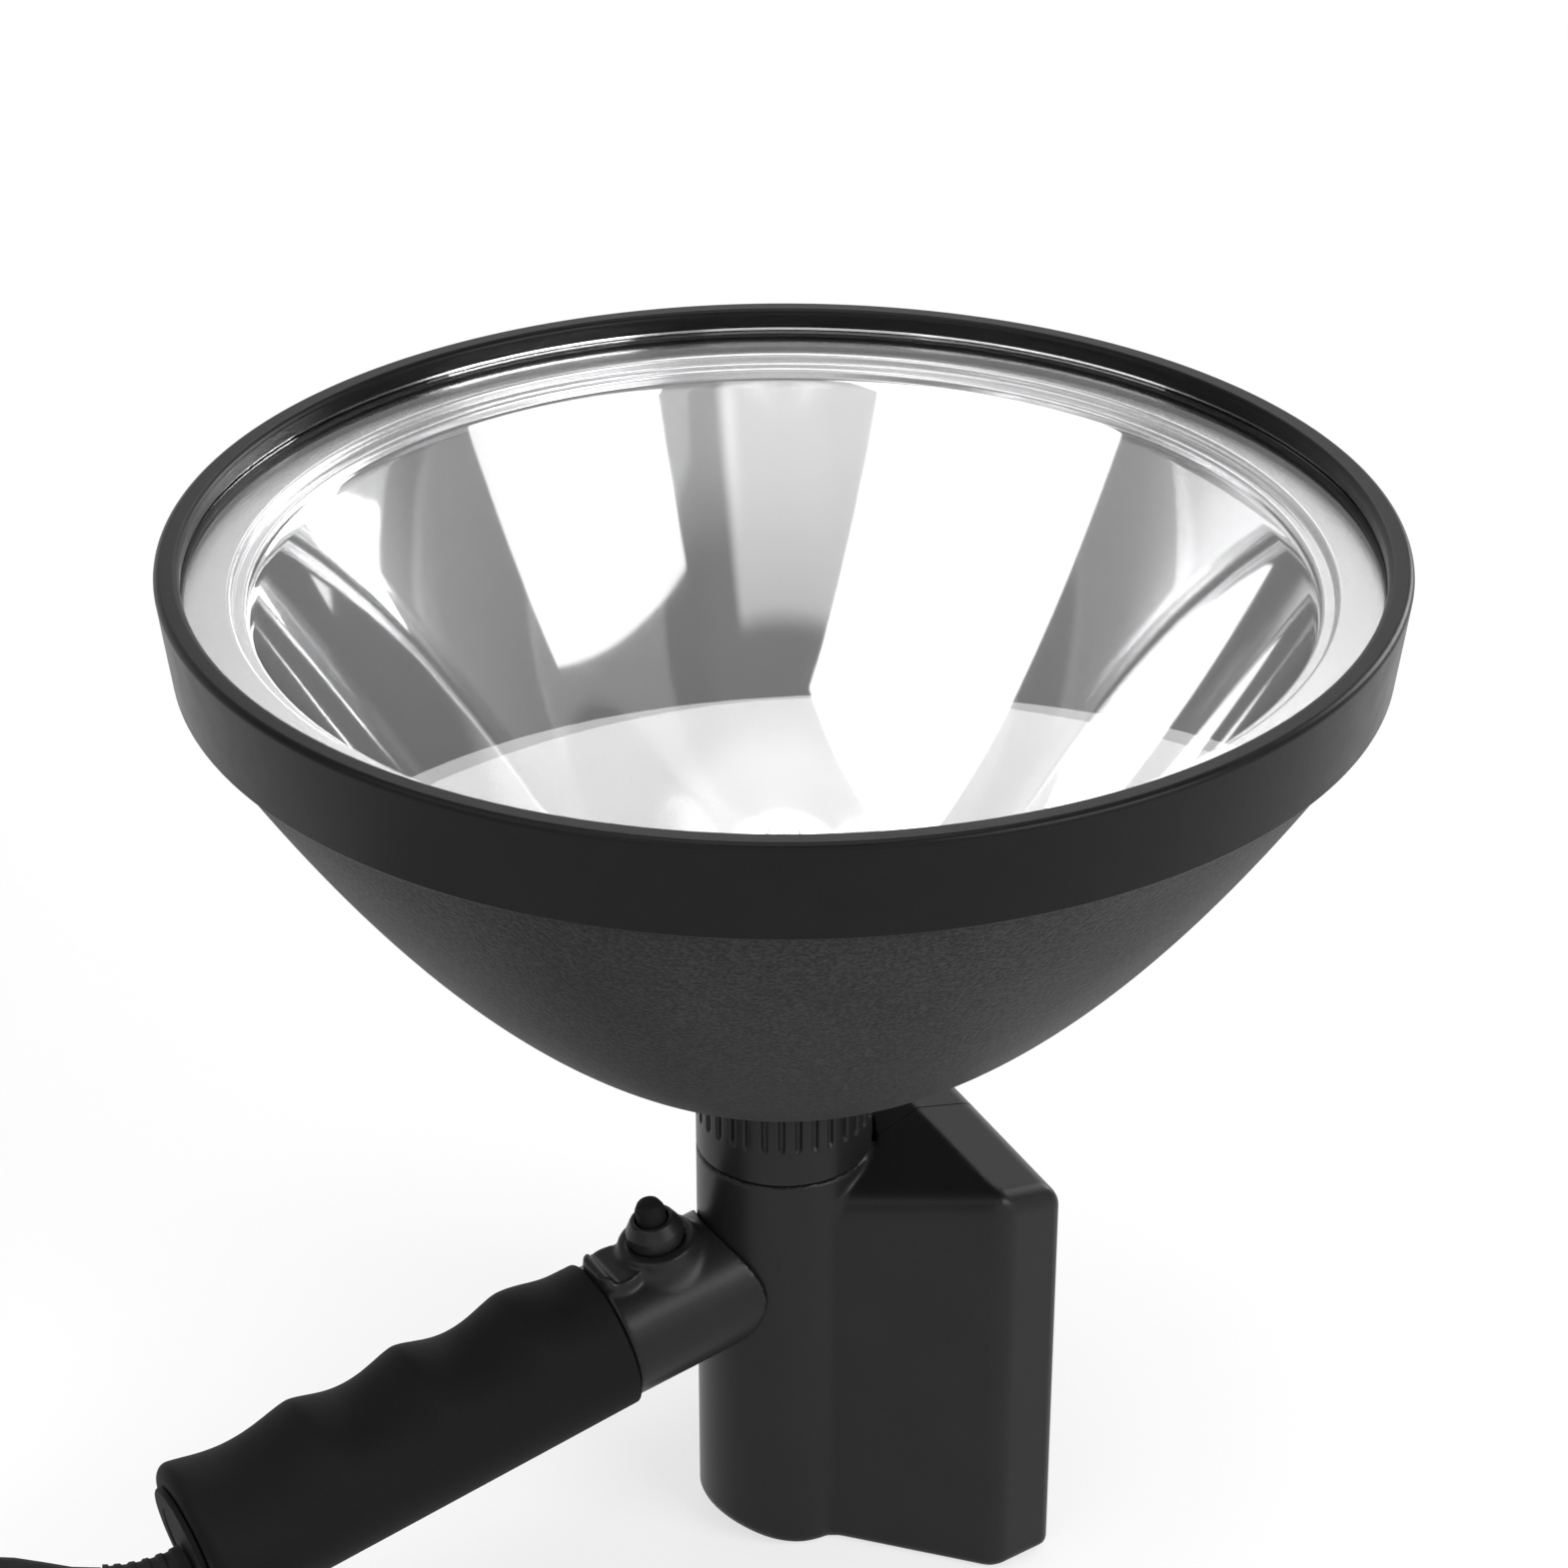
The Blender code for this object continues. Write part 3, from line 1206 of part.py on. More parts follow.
def span_distance(a, b, c, d):
    """Distance between two straight spans."""
    u, v, w = b - a, d - c, a - c
    uu, uv, vv, uw, vw = u.dot(u), u.dot(v), v.dot(v), u.dot(w), v.dot(w)
    det = uu * vv - uv * uv
    s = min(1, max(0, (uv * vw - vv * uw) / det)) if det > uu * vv * PARALLEL_SHARE else 0
    t = min(1, max(0, (uv * s + vw) / vv))
    s = min(1, max(0, (uv * t - uw) / uu))
    return (w + u * s - v * t).length


def build_cord(rubber, strap):
    """Free cord, coil, tie and the lead to the plug."""
    coil = coil_points()
    cord_tube("cord_coil", coil, CORD_RADIUS, rubber, 1)
    gap = least_gap(coil[1:-1])
    print(f"least gap in the coil: {gap * 1000:.2f} mm")
    if gap < LEAST_CORD_GAP:
        print("the coil's loops are too close")

    direction = relief_direction()
    start = relief_points()[-1] + direction * FIT_GAP
    coil_entry = coil[0] + Vector((FIT_GAP, 0, 0))
    before_coil = coil_entry + Vector((2 * CORD_RADIUS, 0, 0))
    route = [start, start + direction * (2 * CORD_RADIUS), *CORD_ROUTE, before_coil, coil_entry]
    cord_tube("power_cord", smooth_route(route, ROUTE_STEP), CORD_RADIUS, rubber, 2)

    coil_exit = coil[-1] + Vector((FIT_GAP, 0, 0))
    plug_tail = Vector((PLUG_TAIL_X - FIT_GAP, PLUG_Y, PLUG_Z))
    after_coil = coil_exit + Vector((2 * CORD_RADIUS, 0, 0))
    before_plug = plug_tail - Vector((2 * CORD_RADIUS, 0, 0))
    route = [coil_exit, after_coil, *LEAD_ROUTE, before_plug, plug_tail]
    cord_tube("plug_lead", smooth_route(route, ROUTE_STEP), CORD_RADIUS, rubber, 2)

    clear = CORD_RADIUS + FIT_GAP
    half = TIE_WIDTH / 2
    inner_strand = COIL_INNER_RADIUS + COIL_PITCH / 4
    bow = inner_strand - math.sqrt(inner_strand**2 - half**2)
    drift = COIL_PITCH * half / (2 * math.pi * inner_strand)
    inner_low = COIL_FLOOR_Z - clear
    inner_high = COIL_TOP_Z + clear
    inner_near = inner_strand - clear - bow - drift
    inner_far = COIL_RADIUS - COIL_PITCH / 4 + clear + drift
    place = guide("tie_place", location=(COIL_X, COIL_Y, 0))
    bands = []
    for name, out in (("cord_tie", TIE_THICKNESS), ("tie_hole_guide", 0)):
        reach = half if out else half + CUT_OVERRUN
        low, high = inner_low - out, inner_high + out
        near, far = -inner_far - out, -inner_near + out
        corner = TIE_CORNER + out
        section = [
            (near + corner, low), (far - corner, low), (far, low + corner), (far, high - corner),
            (far - corner, high), (near + corner, high), (near, high - corner), (near, low + corner),
        ]
        rings = [[(x, y, z) for x, z in section] for y in (-reach, reach)]
        bands.append(lofted(name, rings, strap, place))
    cut(bands[0], bands[1])


def build_plug(plastic, metal):
    """The accessory plug: body, tip ring, sprung tip and two sprung side contacts."""
    place = guide("plug_place", location=(PLUG_TAIL_X, PLUG_Y, PLUG_Z), rotation=(0, math.pi / 2, 0))
    grip_end = PLUG_TAIL_LENGTH + PLUG_GRIP_LENGTH
    nose_end = grip_end + PLUG_NOSE_LENGTH
    tip_bore = PLUG_TIP_RADIUS + RUN_GAP
    bore_floor = nose_end - PLUG_TIP_STEM - PLUG_TIP_TRAVEL - FIT_GAP
    outline = [
        (0, 0),
        (PLUG_TAIL_RADIUS, 0),
        (PLUG_RADIUS, PLUG_TAIL_LENGTH),
        (PLUG_RADIUS, grip_end),
        (PLUG_NOSE_RADIUS, grip_end),
        (PLUG_NOSE_RADIUS, nose_end),
        (tip_bore, nose_end),
        (tip_bore, bore_floor),
        (0, bore_floor),
    ]
    body = turned("plug_body", outline, plastic, PIN_SIDES, place)
    contact_start = (grip_end + nose_end - CONTACT_LENGTH) / 2
    contact_middle = contact_start + CONTACT_LENGTH / 2
    slot_depth = CONTACT_THICKNESS + CONTACT_TRAVEL + FIT_GAP
    half_width = CONTACT_WIDTH / 2
    for number, side in enumerate((-1, 1), 1):
        near, far = sorted((side * (PLUG_NOSE_RADIUS - slot_depth), side * (PLUG_NOSE_RADIUS + CUT_OVERRUN)))
        slot = block(
            f"contact_slot_{number}_guide",
            (-half_width - RUN_GAP, near, contact_start - RUN_GAP),
            (half_width + RUN_GAP, far, contact_start + CONTACT_LENGTH + RUN_GAP),
            plastic,
            place,
        )
        cut(body, slot)
        foot = PLUG_NOSE_RADIUS - CONTACT_THICKNESS
        profile = []
        for along, rise in CONTACT_SHARES:
            profile.append((contact_middle + along * CONTACT_LENGTH, PLUG_NOSE_RADIUS + rise * CONTACT_RISE))
        profile.append((contact_middle + CONTACT_LENGTH / 2, foot))
        profile.append((contact_middle - CONTACT_LENGTH / 2, foot))
        rings = [[(x, side * y, z) for z, y in profile] for x in (-half_width, half_width)]
        lofted(f"plug_side_contact_{number}", rings, metal, place)

    ring_foot = nose_end + FIT_GAP
    ring_top = ring_foot + PLUG_RING_LENGTH
    outline = [
        (tip_bore, ring_foot),
        (PLUG_RING_RADIUS, ring_foot),
        (PLUG_RING_RADIUS, ring_top - PLUG_TIP_RADIUS),
        (PLUG_TIP_RADIUS * 2, ring_top),
        (tip_bore, ring_top),
    ]
    turned("plug_ring", outline, metal, PIN_SIDES, place)
    reach = ring_top + PLUG_TIP_REACH
    outline = [(0, nose_end - PLUG_TIP_STEM), (PLUG_TIP_RADIUS, nose_end - PLUG_TIP_STEM)]
    for radius, height in TIP_ROUND_SHARES:
        outline.append((radius * PLUG_TIP_RADIUS, reach - PLUG_TIP_RADIUS * 2 * (1 - height)))
    turned("plug_tip", outline, metal, PIN_SIDES, place)


def main():
    clear_scene()
    satin = make_material("satin_black_plastic", (0.012, 0.012, 0.013), 0.38)
    grained = make_material("grained_black_plastic", (0.030, 0.030, 0.031), 0.55)
    bezel = make_material("bezel_black_plastic", (0.010, 0.010, 0.010), 0.30)
    mirror = make_material("reflector_mirror", (0.92, 0.92, 0.93), 0.03, 1)
    glass = make_material("clear_glass", (0.95, 0.97, 0.97), 0.02, 0, 0.15)
    rubber = make_material("black_rubber", (0.014, 0.014, 0.014), 0.75)
    steel = make_material("plated_steel", (0.60, 0.60, 0.62), 0.30, 1)
    ceramic = make_material("white_ceramic", (0.80, 0.78, 0.74), 0.45)
    metal = make_material("cast_aluminium", (0.55, 0.56, 0.57), 0.45, 1)

    build_body(satin)
    build_cover(satin)
    build_cover_screws(steel)
    build_ballast(metal)
    build_spigot(metal, steel)
    build_lamp(satin, ceramic, glass)
    build_collar(satin)
    build_housing(grained)
    build_reflector(mirror)
    build_front(bezel, glass, rubber)
    build_neck(satin)
    build_nipple(steel)
    build_grip(rubber)
    build_butt(satin, rubber)
    build_switch(satin, satin, rubber)
    build_cord(rubber, satin)
    build_plug(satin, steel)


main()
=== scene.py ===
import math

import bmesh
import bpy
import numpy as np
from bpy.props import FloatProperty, FloatVectorProperty, IntProperty, PointerProperty
from mathutils import Matrix, Quaternion, Vector


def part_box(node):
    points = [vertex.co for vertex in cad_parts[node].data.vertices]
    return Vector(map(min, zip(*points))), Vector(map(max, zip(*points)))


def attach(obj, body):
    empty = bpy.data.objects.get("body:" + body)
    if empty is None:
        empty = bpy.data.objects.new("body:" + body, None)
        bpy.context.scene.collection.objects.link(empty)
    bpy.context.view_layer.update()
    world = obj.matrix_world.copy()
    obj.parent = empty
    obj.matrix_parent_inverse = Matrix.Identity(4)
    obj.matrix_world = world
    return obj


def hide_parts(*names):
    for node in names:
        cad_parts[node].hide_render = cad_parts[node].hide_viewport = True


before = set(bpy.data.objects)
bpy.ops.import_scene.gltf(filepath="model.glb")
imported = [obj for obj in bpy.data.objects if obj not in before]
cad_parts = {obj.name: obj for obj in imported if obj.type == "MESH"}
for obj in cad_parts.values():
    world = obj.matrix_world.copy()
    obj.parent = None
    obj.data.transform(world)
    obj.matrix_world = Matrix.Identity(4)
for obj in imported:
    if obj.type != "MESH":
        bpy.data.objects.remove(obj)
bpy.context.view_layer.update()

bl_info = {
    "name": "Handheld searchlight",
    "version": (1, 0, 0),
    "blender": (4, 5, 0),
    "location": "3D View > Sidebar > Searchlight",
    "description": "Makes a handheld searchlight with its cord, plug and studio, piece by piece",
    "category": "Add Mesh",
}

# Metres, with +Z along the beam, +X towards the ballast box and the handle towards -X
FIT = 0.0003
MERGE = 2e-7
SEGMENTS = 96

# Body tube and ballast box
TUBE_RADIUS = 0.0186
TUBE_BORE = 0.0160
TUBE_FLOOR = 0.0066
TUBE_TOP = 0.0941
TUBE_RIM_ROUND = 0.0008
BOX_END = 0.0422
BOX_SHOULDER = 0.0267
BOX_HALF_WIDTH = 0.0455
BOX_END_HALF_WIDTH = 0.0437
BOX_WAIST_HALF_WIDTH = 0.0168
BOX_RIDGE = 0.1000
BOX_END_HEIGHT = 0.0966
BOX_WALL = 0.0025
BOX_FLOOR = 0.003
BOX_SIDE_ROUND = 0.0026
BOX_ROOF_ROUND = 0.0042
BOX_INSIDE_ROUND = 0.001
ROOF_SLOPE = math.tan(math.radians(22))
ROOF_CROWN = math.tan(math.radians(4.5))
ROOF_CROWN_ROUND = 0.002
SEAM = -0.010
SEAM_ROUND = 0.0004
VALLEY_ROUND = 0.0012
RECESS_RADIUS = 0.0195
RECESS_ROUND = 0.0006
FOOT_SLANT_START = 0.0078
FOOT_SLANT = math.radians(20)
FOOT_ROUND = 0.0022
SCREW_X = 0.0332
SCREW_HEIGHTS = (0.0080, 0.08486)
SCREW_POST_RADIUS = 0.0047
SCREW_WELL_RADIUS = 0.0031
SCREW_HOLE_RADIUS = 0.0018
SCREW_SHANK_RADIUS = 0.0015
SCREW_HEAD_RADIUS = 0.0028
SCREW_HEAD_HEIGHT = 0.002
SOCKET_RADIUS = 0.0012
SOCKET_MOUTH_RADIUS = 0.0016
SOCKET_FLOOR = 0.0008
SOCKET_LOBE_SHARE = 0.16

# Head
COLLAR_BORE = 0.0147
COLLAR_STEM_RADIUS = 0.0172
COLLAR_FOOT = 0.0945
COLLAR_WALL = (0.0952, 0.1150)
COLLAR_GROOVES = (0.1022, 0.1132)
COLLAR_TOP = 0.1155
COLLAR_STEM_TOP = 0.1190
GROOVE_HALF_WIDTH = 0.0004
GROOVE_SIDE = 0.00035
GROOVE_END = 0.0012
BOWL_FOOT = 0.1158
BOWL_BORE = 0.0175
BOWL_RADIUS = 0.1182
BOWL_RIM_BORE = 0.1152
BOWL_TOP = 0.2238
BOWL_WALL = 0.003
MIRROR_HOLE = 0.0115
MIRROR_HOLE_Z = 0.12562
MIRROR_MOUTH = 0.1043
MIRROR_MOUTH_Z = 0.2214
MIRROR_LIP = 0.0006
MIRROR_WALL = 0.002
STEP_RADIUS = 0.1079
STEP_Z = 0.2239
FLANGE_RADIUS = 0.1179
FLANGE_FOOT = 0.2241
FLANGE_TOP = 0.2261
BEZEL_FOOT = 0.2141
BEZEL_FOOT_RADIUS = 0.1200
BEZEL_BORE = 0.1185
RIM_Z = 0.2344
RIM_RADIUS = 0.1225
LIP_RADIUS = 0.1173
LIP_FOOT = 0.2304
LENS_RADIUS = 0.1182
LENS_RING = 0.06
LENS_FOOT = 0.2275
LENS_TOP = 0.2301
SEAL_BORE = 0.1168
SEAL_FOOT = 0.2264
SEAL_TOP = 0.2272
SEAL_ROUND = 0.00035

# Handle, with positions along its own axis from the tube's middle
HANDLE_RAKE = math.radians(11.2)
HANDLE_ROOT = Vector((0, 0, 0.0679))
HANDLE_AXIS = Vector((-math.cos(HANDLE_RAKE), 0, -math.sin(HANDLE_RAKE)))
HANDLE_UP = Vector((-math.sin(HANDLE_RAKE), 0, math.cos(HANDLE_RAKE)))
NECK_RADIUS = 0.0148
NECK_END = 0.0438
NECK_ROUND = 0.0009
SADDLE_ROUND = 0.0008
CORE_RADIUS = 0.0105
CORE_START = 0.03
NIPPLE_BORE = 0.0053
WIRE_BORE = 0.0040
SWITCH_POSITION = 0.0279
BOSS_RADIUS = 0.0086
BOSS_HEIGHT = 0.0172
POCKET_RADIUS = 0.0060
POCKET_DEPTH = 0.0108
TAB_POSITION = 0.0385
TAB_RADIUS = 0.0068
TAB_HEIGHT = BOSS_HEIGHT - 0.0014
TAB_RIB_HEIGHT = 0.0176
TAB_RIB_LENGTH = 0.0024
GRIP_START = 0.0441
GRIP_LENGTH = 0.0972
GRIP_END = GRIP_START + GRIP_LENGTH
GRIP_RADIUS = 0.0160
GRIP_GROWTH = 0.0018
RIDGE_RADIUS = 0.0187
RIDGE_FALL = 0.0016
RIDGE_LEAD = 0.005
FIRST_RIDGE = 0.0178
FINGER_PITCH = 0.0245
LAST_RIDGE = GRIP_LENGTH - 0.0016
MOUTH_ROUND = 0.0006
BUTT_ROUND = 0.0032
CAP_DEPTH = 0.008
CAP_RADIUS = 0.0132
CAP_LIP = 0.0012
CAP_LIP_BORE = 0.0092
CAP_HOLLOW = 0.0003
SLEEVE_DROP = 0.0040
SLEEVE_REACH = 0.009
SLEEVE_TURN = math.radians(24)
SLEEVE_RISE = math.radians(6)
SLEEVE_RADIUS = 0.0041
SLEEVE_TAPER = 0.0005
SLEEVE_RING_DEPTH = 0.00035
SLEEVE_RINGS = 5.5

# Switch
BARREL_RADIUS = 0.0057
BARREL_LENGTH = 0.0105
BARREL_BORE = 0.0022
BARREL_BORE_DEPTH = 0.0068
RING_BORE = 0.0036
RING_RADIUS = 0.0061
RING_WALL_HEIGHT = 0.0026
RING_TOP_RADIUS = 0.0046
RING_HEIGHT = 0.0053
BOOT_START = 0.0028
BOOT_STEM_RADIUS = 0.0018
BOOT_STEM_LENGTH = 0.0065
BOOT_RADIUS = 0.0032
BOOT_WALL_HEIGHT = 0.0048
BOOT_HEIGHT = 0.0070

# Cord, coil and plug
CORD_STEP = 0.006
ROUTE_STEPS = 24
COIL_X = -0.262
COIL_Y = 0.022
COIL_RADIUS = 0.0445
COIL_PITCH = 0.0074
COIL_LAYERS = 4
COIL_FLOOR_Z = 0.0044
LAYER_TURNS = 2.5
CLIMB_TURNS = 0.5
FIRST_TURN = 0.25
TURN_STEPS = 24
TIE_THICKNESS = 0.0008
TIE_ROUND = 0.0022
TIE_EDGE_ROUND = 0.0003
PLUG_TAIL = Vector((-0.198, -0.034, 0.0123))
PLUG_RADIUS = 0.012
PLUG_TAIL_RADIUS = 0.0066
PLUG_GROOVES = np.linspace(0.0165, 0.0345, 6)
PLUG_GROOVE_DEPTH = 0.0007
PLUG_GROOVE_HALF_WIDTH = 0.0011
PLUG_GROOVE_FLOOR = 0.0007
NOSE_RADIUS = 0.0103
NOSE_START = 0.040
NOSE_END = 0.066
NOSE_BORE = 0.0032
NOSE_BORE_FOOT = 0.0507
PLUG_RING_RADIUS = 0.0086
PLUG_RING_WALL_END = 0.0700
PLUG_RING_TOP_RADIUS = 0.0056
PLUG_RING_END = 0.0728
TIP_RADIUS = 0.0028
TIP_START = 0.0540
TIP_DOME = 0.0036
TIP_END = 0.0783
SLOT_HALF_WIDTH = 0.0024
SLOT_DEPTH = 0.0029
SLOT_OVERRUN = 0.004
SLOT_ENDS = (0.0441, 0.0619)
CONTACT_HALF_WIDTH = 0.002
CONTACT_MIDDLE = 0.053
CONTACT_LENGTH = 0.017
CONTACT_RISE = 0.0014
CONTACT_THICKNESS = 0.0005
CONTACT_SEAT = 0.0087

HANDLE_PLACE = Matrix.Translation(HANDLE_ROOT) @ Matrix.Rotation(-math.pi / 2 - HANDLE_RAKE, 4, "Y")
SWITCH_ROOT = HANDLE_ROOT + HANDLE_AXIS * SWITCH_POSITION
SWITCH_PLACE = Matrix.Translation(SWITCH_ROOT) @ Matrix.Rotation(-HANDLE_RAKE, 4, "Y")
PLUG_PLACE = Matrix.Translation(PLUG_TAIL) @ Matrix.Rotation(math.pi / 2, 4, "Y")


# Meshes


def circle(steps):
    """Even angles round a circle."""
    return 2 * math.pi * np.arange(steps) / steps


def round_points(radius, angle, height):
    """Points at a radius, an angle and a height round the Z axis."""
    return np.stack(np.broadcast_arrays(radius * np.cos(angle), radius * np.sin(angle), height), -1)


def soft_step(value):
    """A step from 0 to 1 with soft ends: three times the value's square less twice its cube."""
    value = np.clip(value, 0, 1)
    return value * value * (3 - 2 * value)


def grid_quads(rows, cols, wrap_rows=False):
    """Faces of a grid with closed rows: every point with its right, lower right and lower neighbour."""
    i = np.arange(rows if wrap_rows else rows - 1)[:, None]
    j = np.arange(cols)[None, :]
    below, right = (i + 1) % rows, (j + 1) % cols
    corners = [i * cols + j, i * cols + right, below * cols + right, below * cols + j]
    return np.stack(np.broadcast_arrays(*corners), -1).reshape(-1, 4)


def together(*parts):
    """Several sets of points and faces as one."""
    points, faces, start = [], [], 0
    for p, f in parts:
        points.append(p.reshape(-1, 3))
        faces.append(f + start)
        start += len(points[-1])
    return np.concatenate(points), np.concatenate(faces)


def placed(points, place):
    """Points moved by a matrix."""
    return points @ np.array(place.to_3x3()).T + np.array(place.translation)


def turn_outwards(mesh):
    """Turn a closed mesh's faces outwards."""
    bm = bmesh.new()
    bm.from_mesh(mesh)
    bmesh.ops.recalc_face_normals(bm, faces=bm.faces)
    bm.to_mesh(mesh)
    bm.free()


def added(name, data):
    """A new object in the scene."""
    obj = bpy.data.objects.new(name, data)
    bpy.context.scene.collection.objects.link(obj)
    return obj


def piece(name, shape, look, body, *nodes, place=None, slot=None, sharp=38, even=True):
    """A mesh object from points and faces: doubles are merged, faces turn outwards, it rides and replaces.

    Flat stretches keep flat shading beside their fillets, because large faces weigh more in the normals.
    """
    points, quads = shape
    points = np.asarray(points, float).reshape(-1, 3)
    if place is not None:
        points = placed(points, place)
    cells = np.round(points / MERGE).astype(np.int64)
    _, first, where = np.unique(cells, axis=0, return_index=True, return_inverse=True)
    faces = where.reshape(-1)[quads]
    same = faces == np.roll(faces, 1, axis=1)
    whole = faces[same.sum(1) == 0]
    once = same.sum(1) == 1
    triangles = faces[once][~same[once]].reshape(-1, 3)
    mesh = bpy.data.meshes.new(name)
    mesh.from_pydata(points[first].tolist(), [], whole.tolist() + triangles.tolist())
    turn_outwards(mesh)
    mesh.materials.append(finish(look))
    mesh.shade_smooth()
    mesh.set_sharp_from_angle(angle=math.radians(sharp))
    obj = added(name, mesh)
    if even:
        obj.modifiers.new("even_shading", "WEIGHTED_NORMAL").keep_sharp = True
    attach(obj, body)
    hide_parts(*nodes)
    return obj


def filleted(corners, closed=True, steps=5):
    """An outline of (radius, height, fillet) corners, each of them the arc that touches both sides."""
    table = np.asarray(corners, float)
    p, r = table[:, :2], table[:, 2]
    before, after = np.roll(p, 1, 0) - p, np.roll(p, -1, 0) - p
    if not closed:
        before[0], after[-1] = -after[0], -before[-1]
        r[0] = r[-1] = 0
    before /= np.linalg.norm(before, axis=1, keepdims=True)
    after /= np.linalg.norm(after, axis=1, keepdims=True)
    half = np.arccos(np.clip((before * after).sum(1), -1, 1)) / 2
    bent = np.abs(np.cos(half)) > 1e-4
    reach = np.where(bent, r / np.tan(half), 0)
    inward = before + after
    inward /= np.maximum(np.linalg.norm(inward, axis=1, keepdims=True), 1e-9)
    centre = p + inward * (r / np.sin(half))[:, None]
    start = p + before * reach[:, None] - centre
    end = p + after * reach[:, None] - centre
    sweep = np.maximum(math.pi - 2 * half, 1e-6)[:, None]
    t = np.linspace(0, 1, steps + 1)[None, :]
    a, b = np.sin((1 - t) * sweep) / np.sin(sweep), np.sin(t * sweep) / np.sin(sweep)
    arcs = centre[:, None] + a[..., None] * start[:, None] + b[..., None] * end[:, None]
    arcs = np.where(((r == 0) | ~bent)[:, None, None], p[:, None], arcs).reshape(-1, 2)
    apart = np.linalg.norm(arcs - np.roll(arcs, 1, 0), axis=1)
    return arcs[apart > 10 * MERGE]


def rectangle(low, high, fillet, steps=5):
    """A rectangle's outline with rounded corners, from its lowest and its highest corner."""
    (x0, y0), (x1, y1) = low, high
    return filleted([(x0, y0, fillet), (x1, y0, fillet), (x1, y1, fillet), (x0, y1, fillet)], steps=steps)


def spun(profile, segments, closed=True):
    """A profile of (radius, height) carried round the Z axis; the ends of an open one lie on the axis."""
    profile = np.asarray(profile, float)
    points = round_points(profile[:, 0:1], circle(segments), profile[:, 1:2])
    return points, grid_quads(len(profile), segments, wrap_rows=closed)


def turned(name, corners, look, body, *nodes, segments=SEGMENTS, closed=True, steps=5, **options):
    """A turned piece from its outline's (radius, height, fillet) corners."""
    shape = spun(filleted(corners, closed, steps), segments, closed)
    return piece(name, shape, look, body, *nodes, **options)


def tube(rings):
    """A closed tube through rings of points, whose end rings are filled from their middles."""
    ends = [np.broadcast_to(ring.mean(0), rings[:1].shape) for ring in (rings[0], rings[-1])]
    points = np.concatenate([ends[0], rings, ends[1]])
    return points, grid_quads(len(points), points.shape[1])


def carried(path, section, radii):
    """A section of (side, up) points carried along a path, square to it, with a radius at each point."""
    along = np.gradient(path, axis=0)
    along /= np.linalg.norm(along, axis=1, keepdims=True)
    up = np.array([0.0, 0.0, 1.0]) - along * along[:, 2:3]
    up /= np.linalg.norm(up, axis=1, keepdims=True)
    side = np.cross(along, up)
    flat = section[None, :, 0:1] * side[:, None] + section[None, :, 1:2] * up[:, None]
    return tube(path[:, None] + radii[:, None, None] * flat)


def paraboloid(radius_from, radius_to, low, high, steps):
    """A profile whose radius squared grows evenly with height, and its normals away from the axis."""
    growth = (radius_to**2 - radius_from**2) / (high - low)
    radius = np.linspace(radius_from, radius_to, steps)
    normal = np.stack([np.ones_like(radius), -growth / (2 * radius)], 1)
    normal /= np.linalg.norm(normal, axis=1, keepdims=True)
    return np.stack([radius, low + (radius**2 - radius_from**2) / growth], 1), normal


def rounded(*distances, radius):
    """The common part of several shapes with rounded edges: the distance to the corner of the offsets."""
    moved = [d + radius for d in distances]
    largest = np.maximum.reduce(moved)
    corner = np.sqrt(sum(np.maximum(d, 0) ** 2 for d in moved))
    return np.minimum(largest, 0) + corner - radius


def blended(a, b, radius):
    """Two shapes together, with a hollow blend of one radius between them."""
    return -rounded(-a, -b, radius=radius)


def slopes(distance, p, step=2e-5):
    """The gradient of a distance at points, from central differences."""
    out = np.empty_like(p)
    for axis in range(3):
        shift = np.zeros(3)
        shift[axis] = step
        out[:, axis] = (distance(*(p + shift).T) - distance(*(p - shift).T)) / (2 * step)
    return out


def on_surface(distance, points, furthest):
    """Points moved to where a distance is zero, by Newton steps along its gradient."""
    for _ in range(4):
        slope = slopes(distance, points)
        worth = distance(*points.T)[:, None]
        step = worth * slope / np.maximum((slope**2).sum(1, keepdims=True), 0.2)
        points = points - np.clip(step, -furthest, furthest)
    return points


def on_crease(first, second, points, furthest):
    """Points moved to where two distances are zero, by Newton steps in the plane of both gradients."""
    for _ in range(3):
        ga, gb = slopes(first, points), slopes(second, points)
        da, db = first(*points.T), second(*points.T)
        aa, bb, ab = (ga * ga).sum(1), (gb * gb).sum(1), (ga * gb).sum(1)
        det = np.maximum(aa * bb - ab * ab, 1e-3)
        x, y = (da * bb - db * ab) / det, (db * aa - da * ab) / det
        points = points - np.clip(x[:, None] * ga + y[:, None] * gb, -furthest, furthest)
    return points


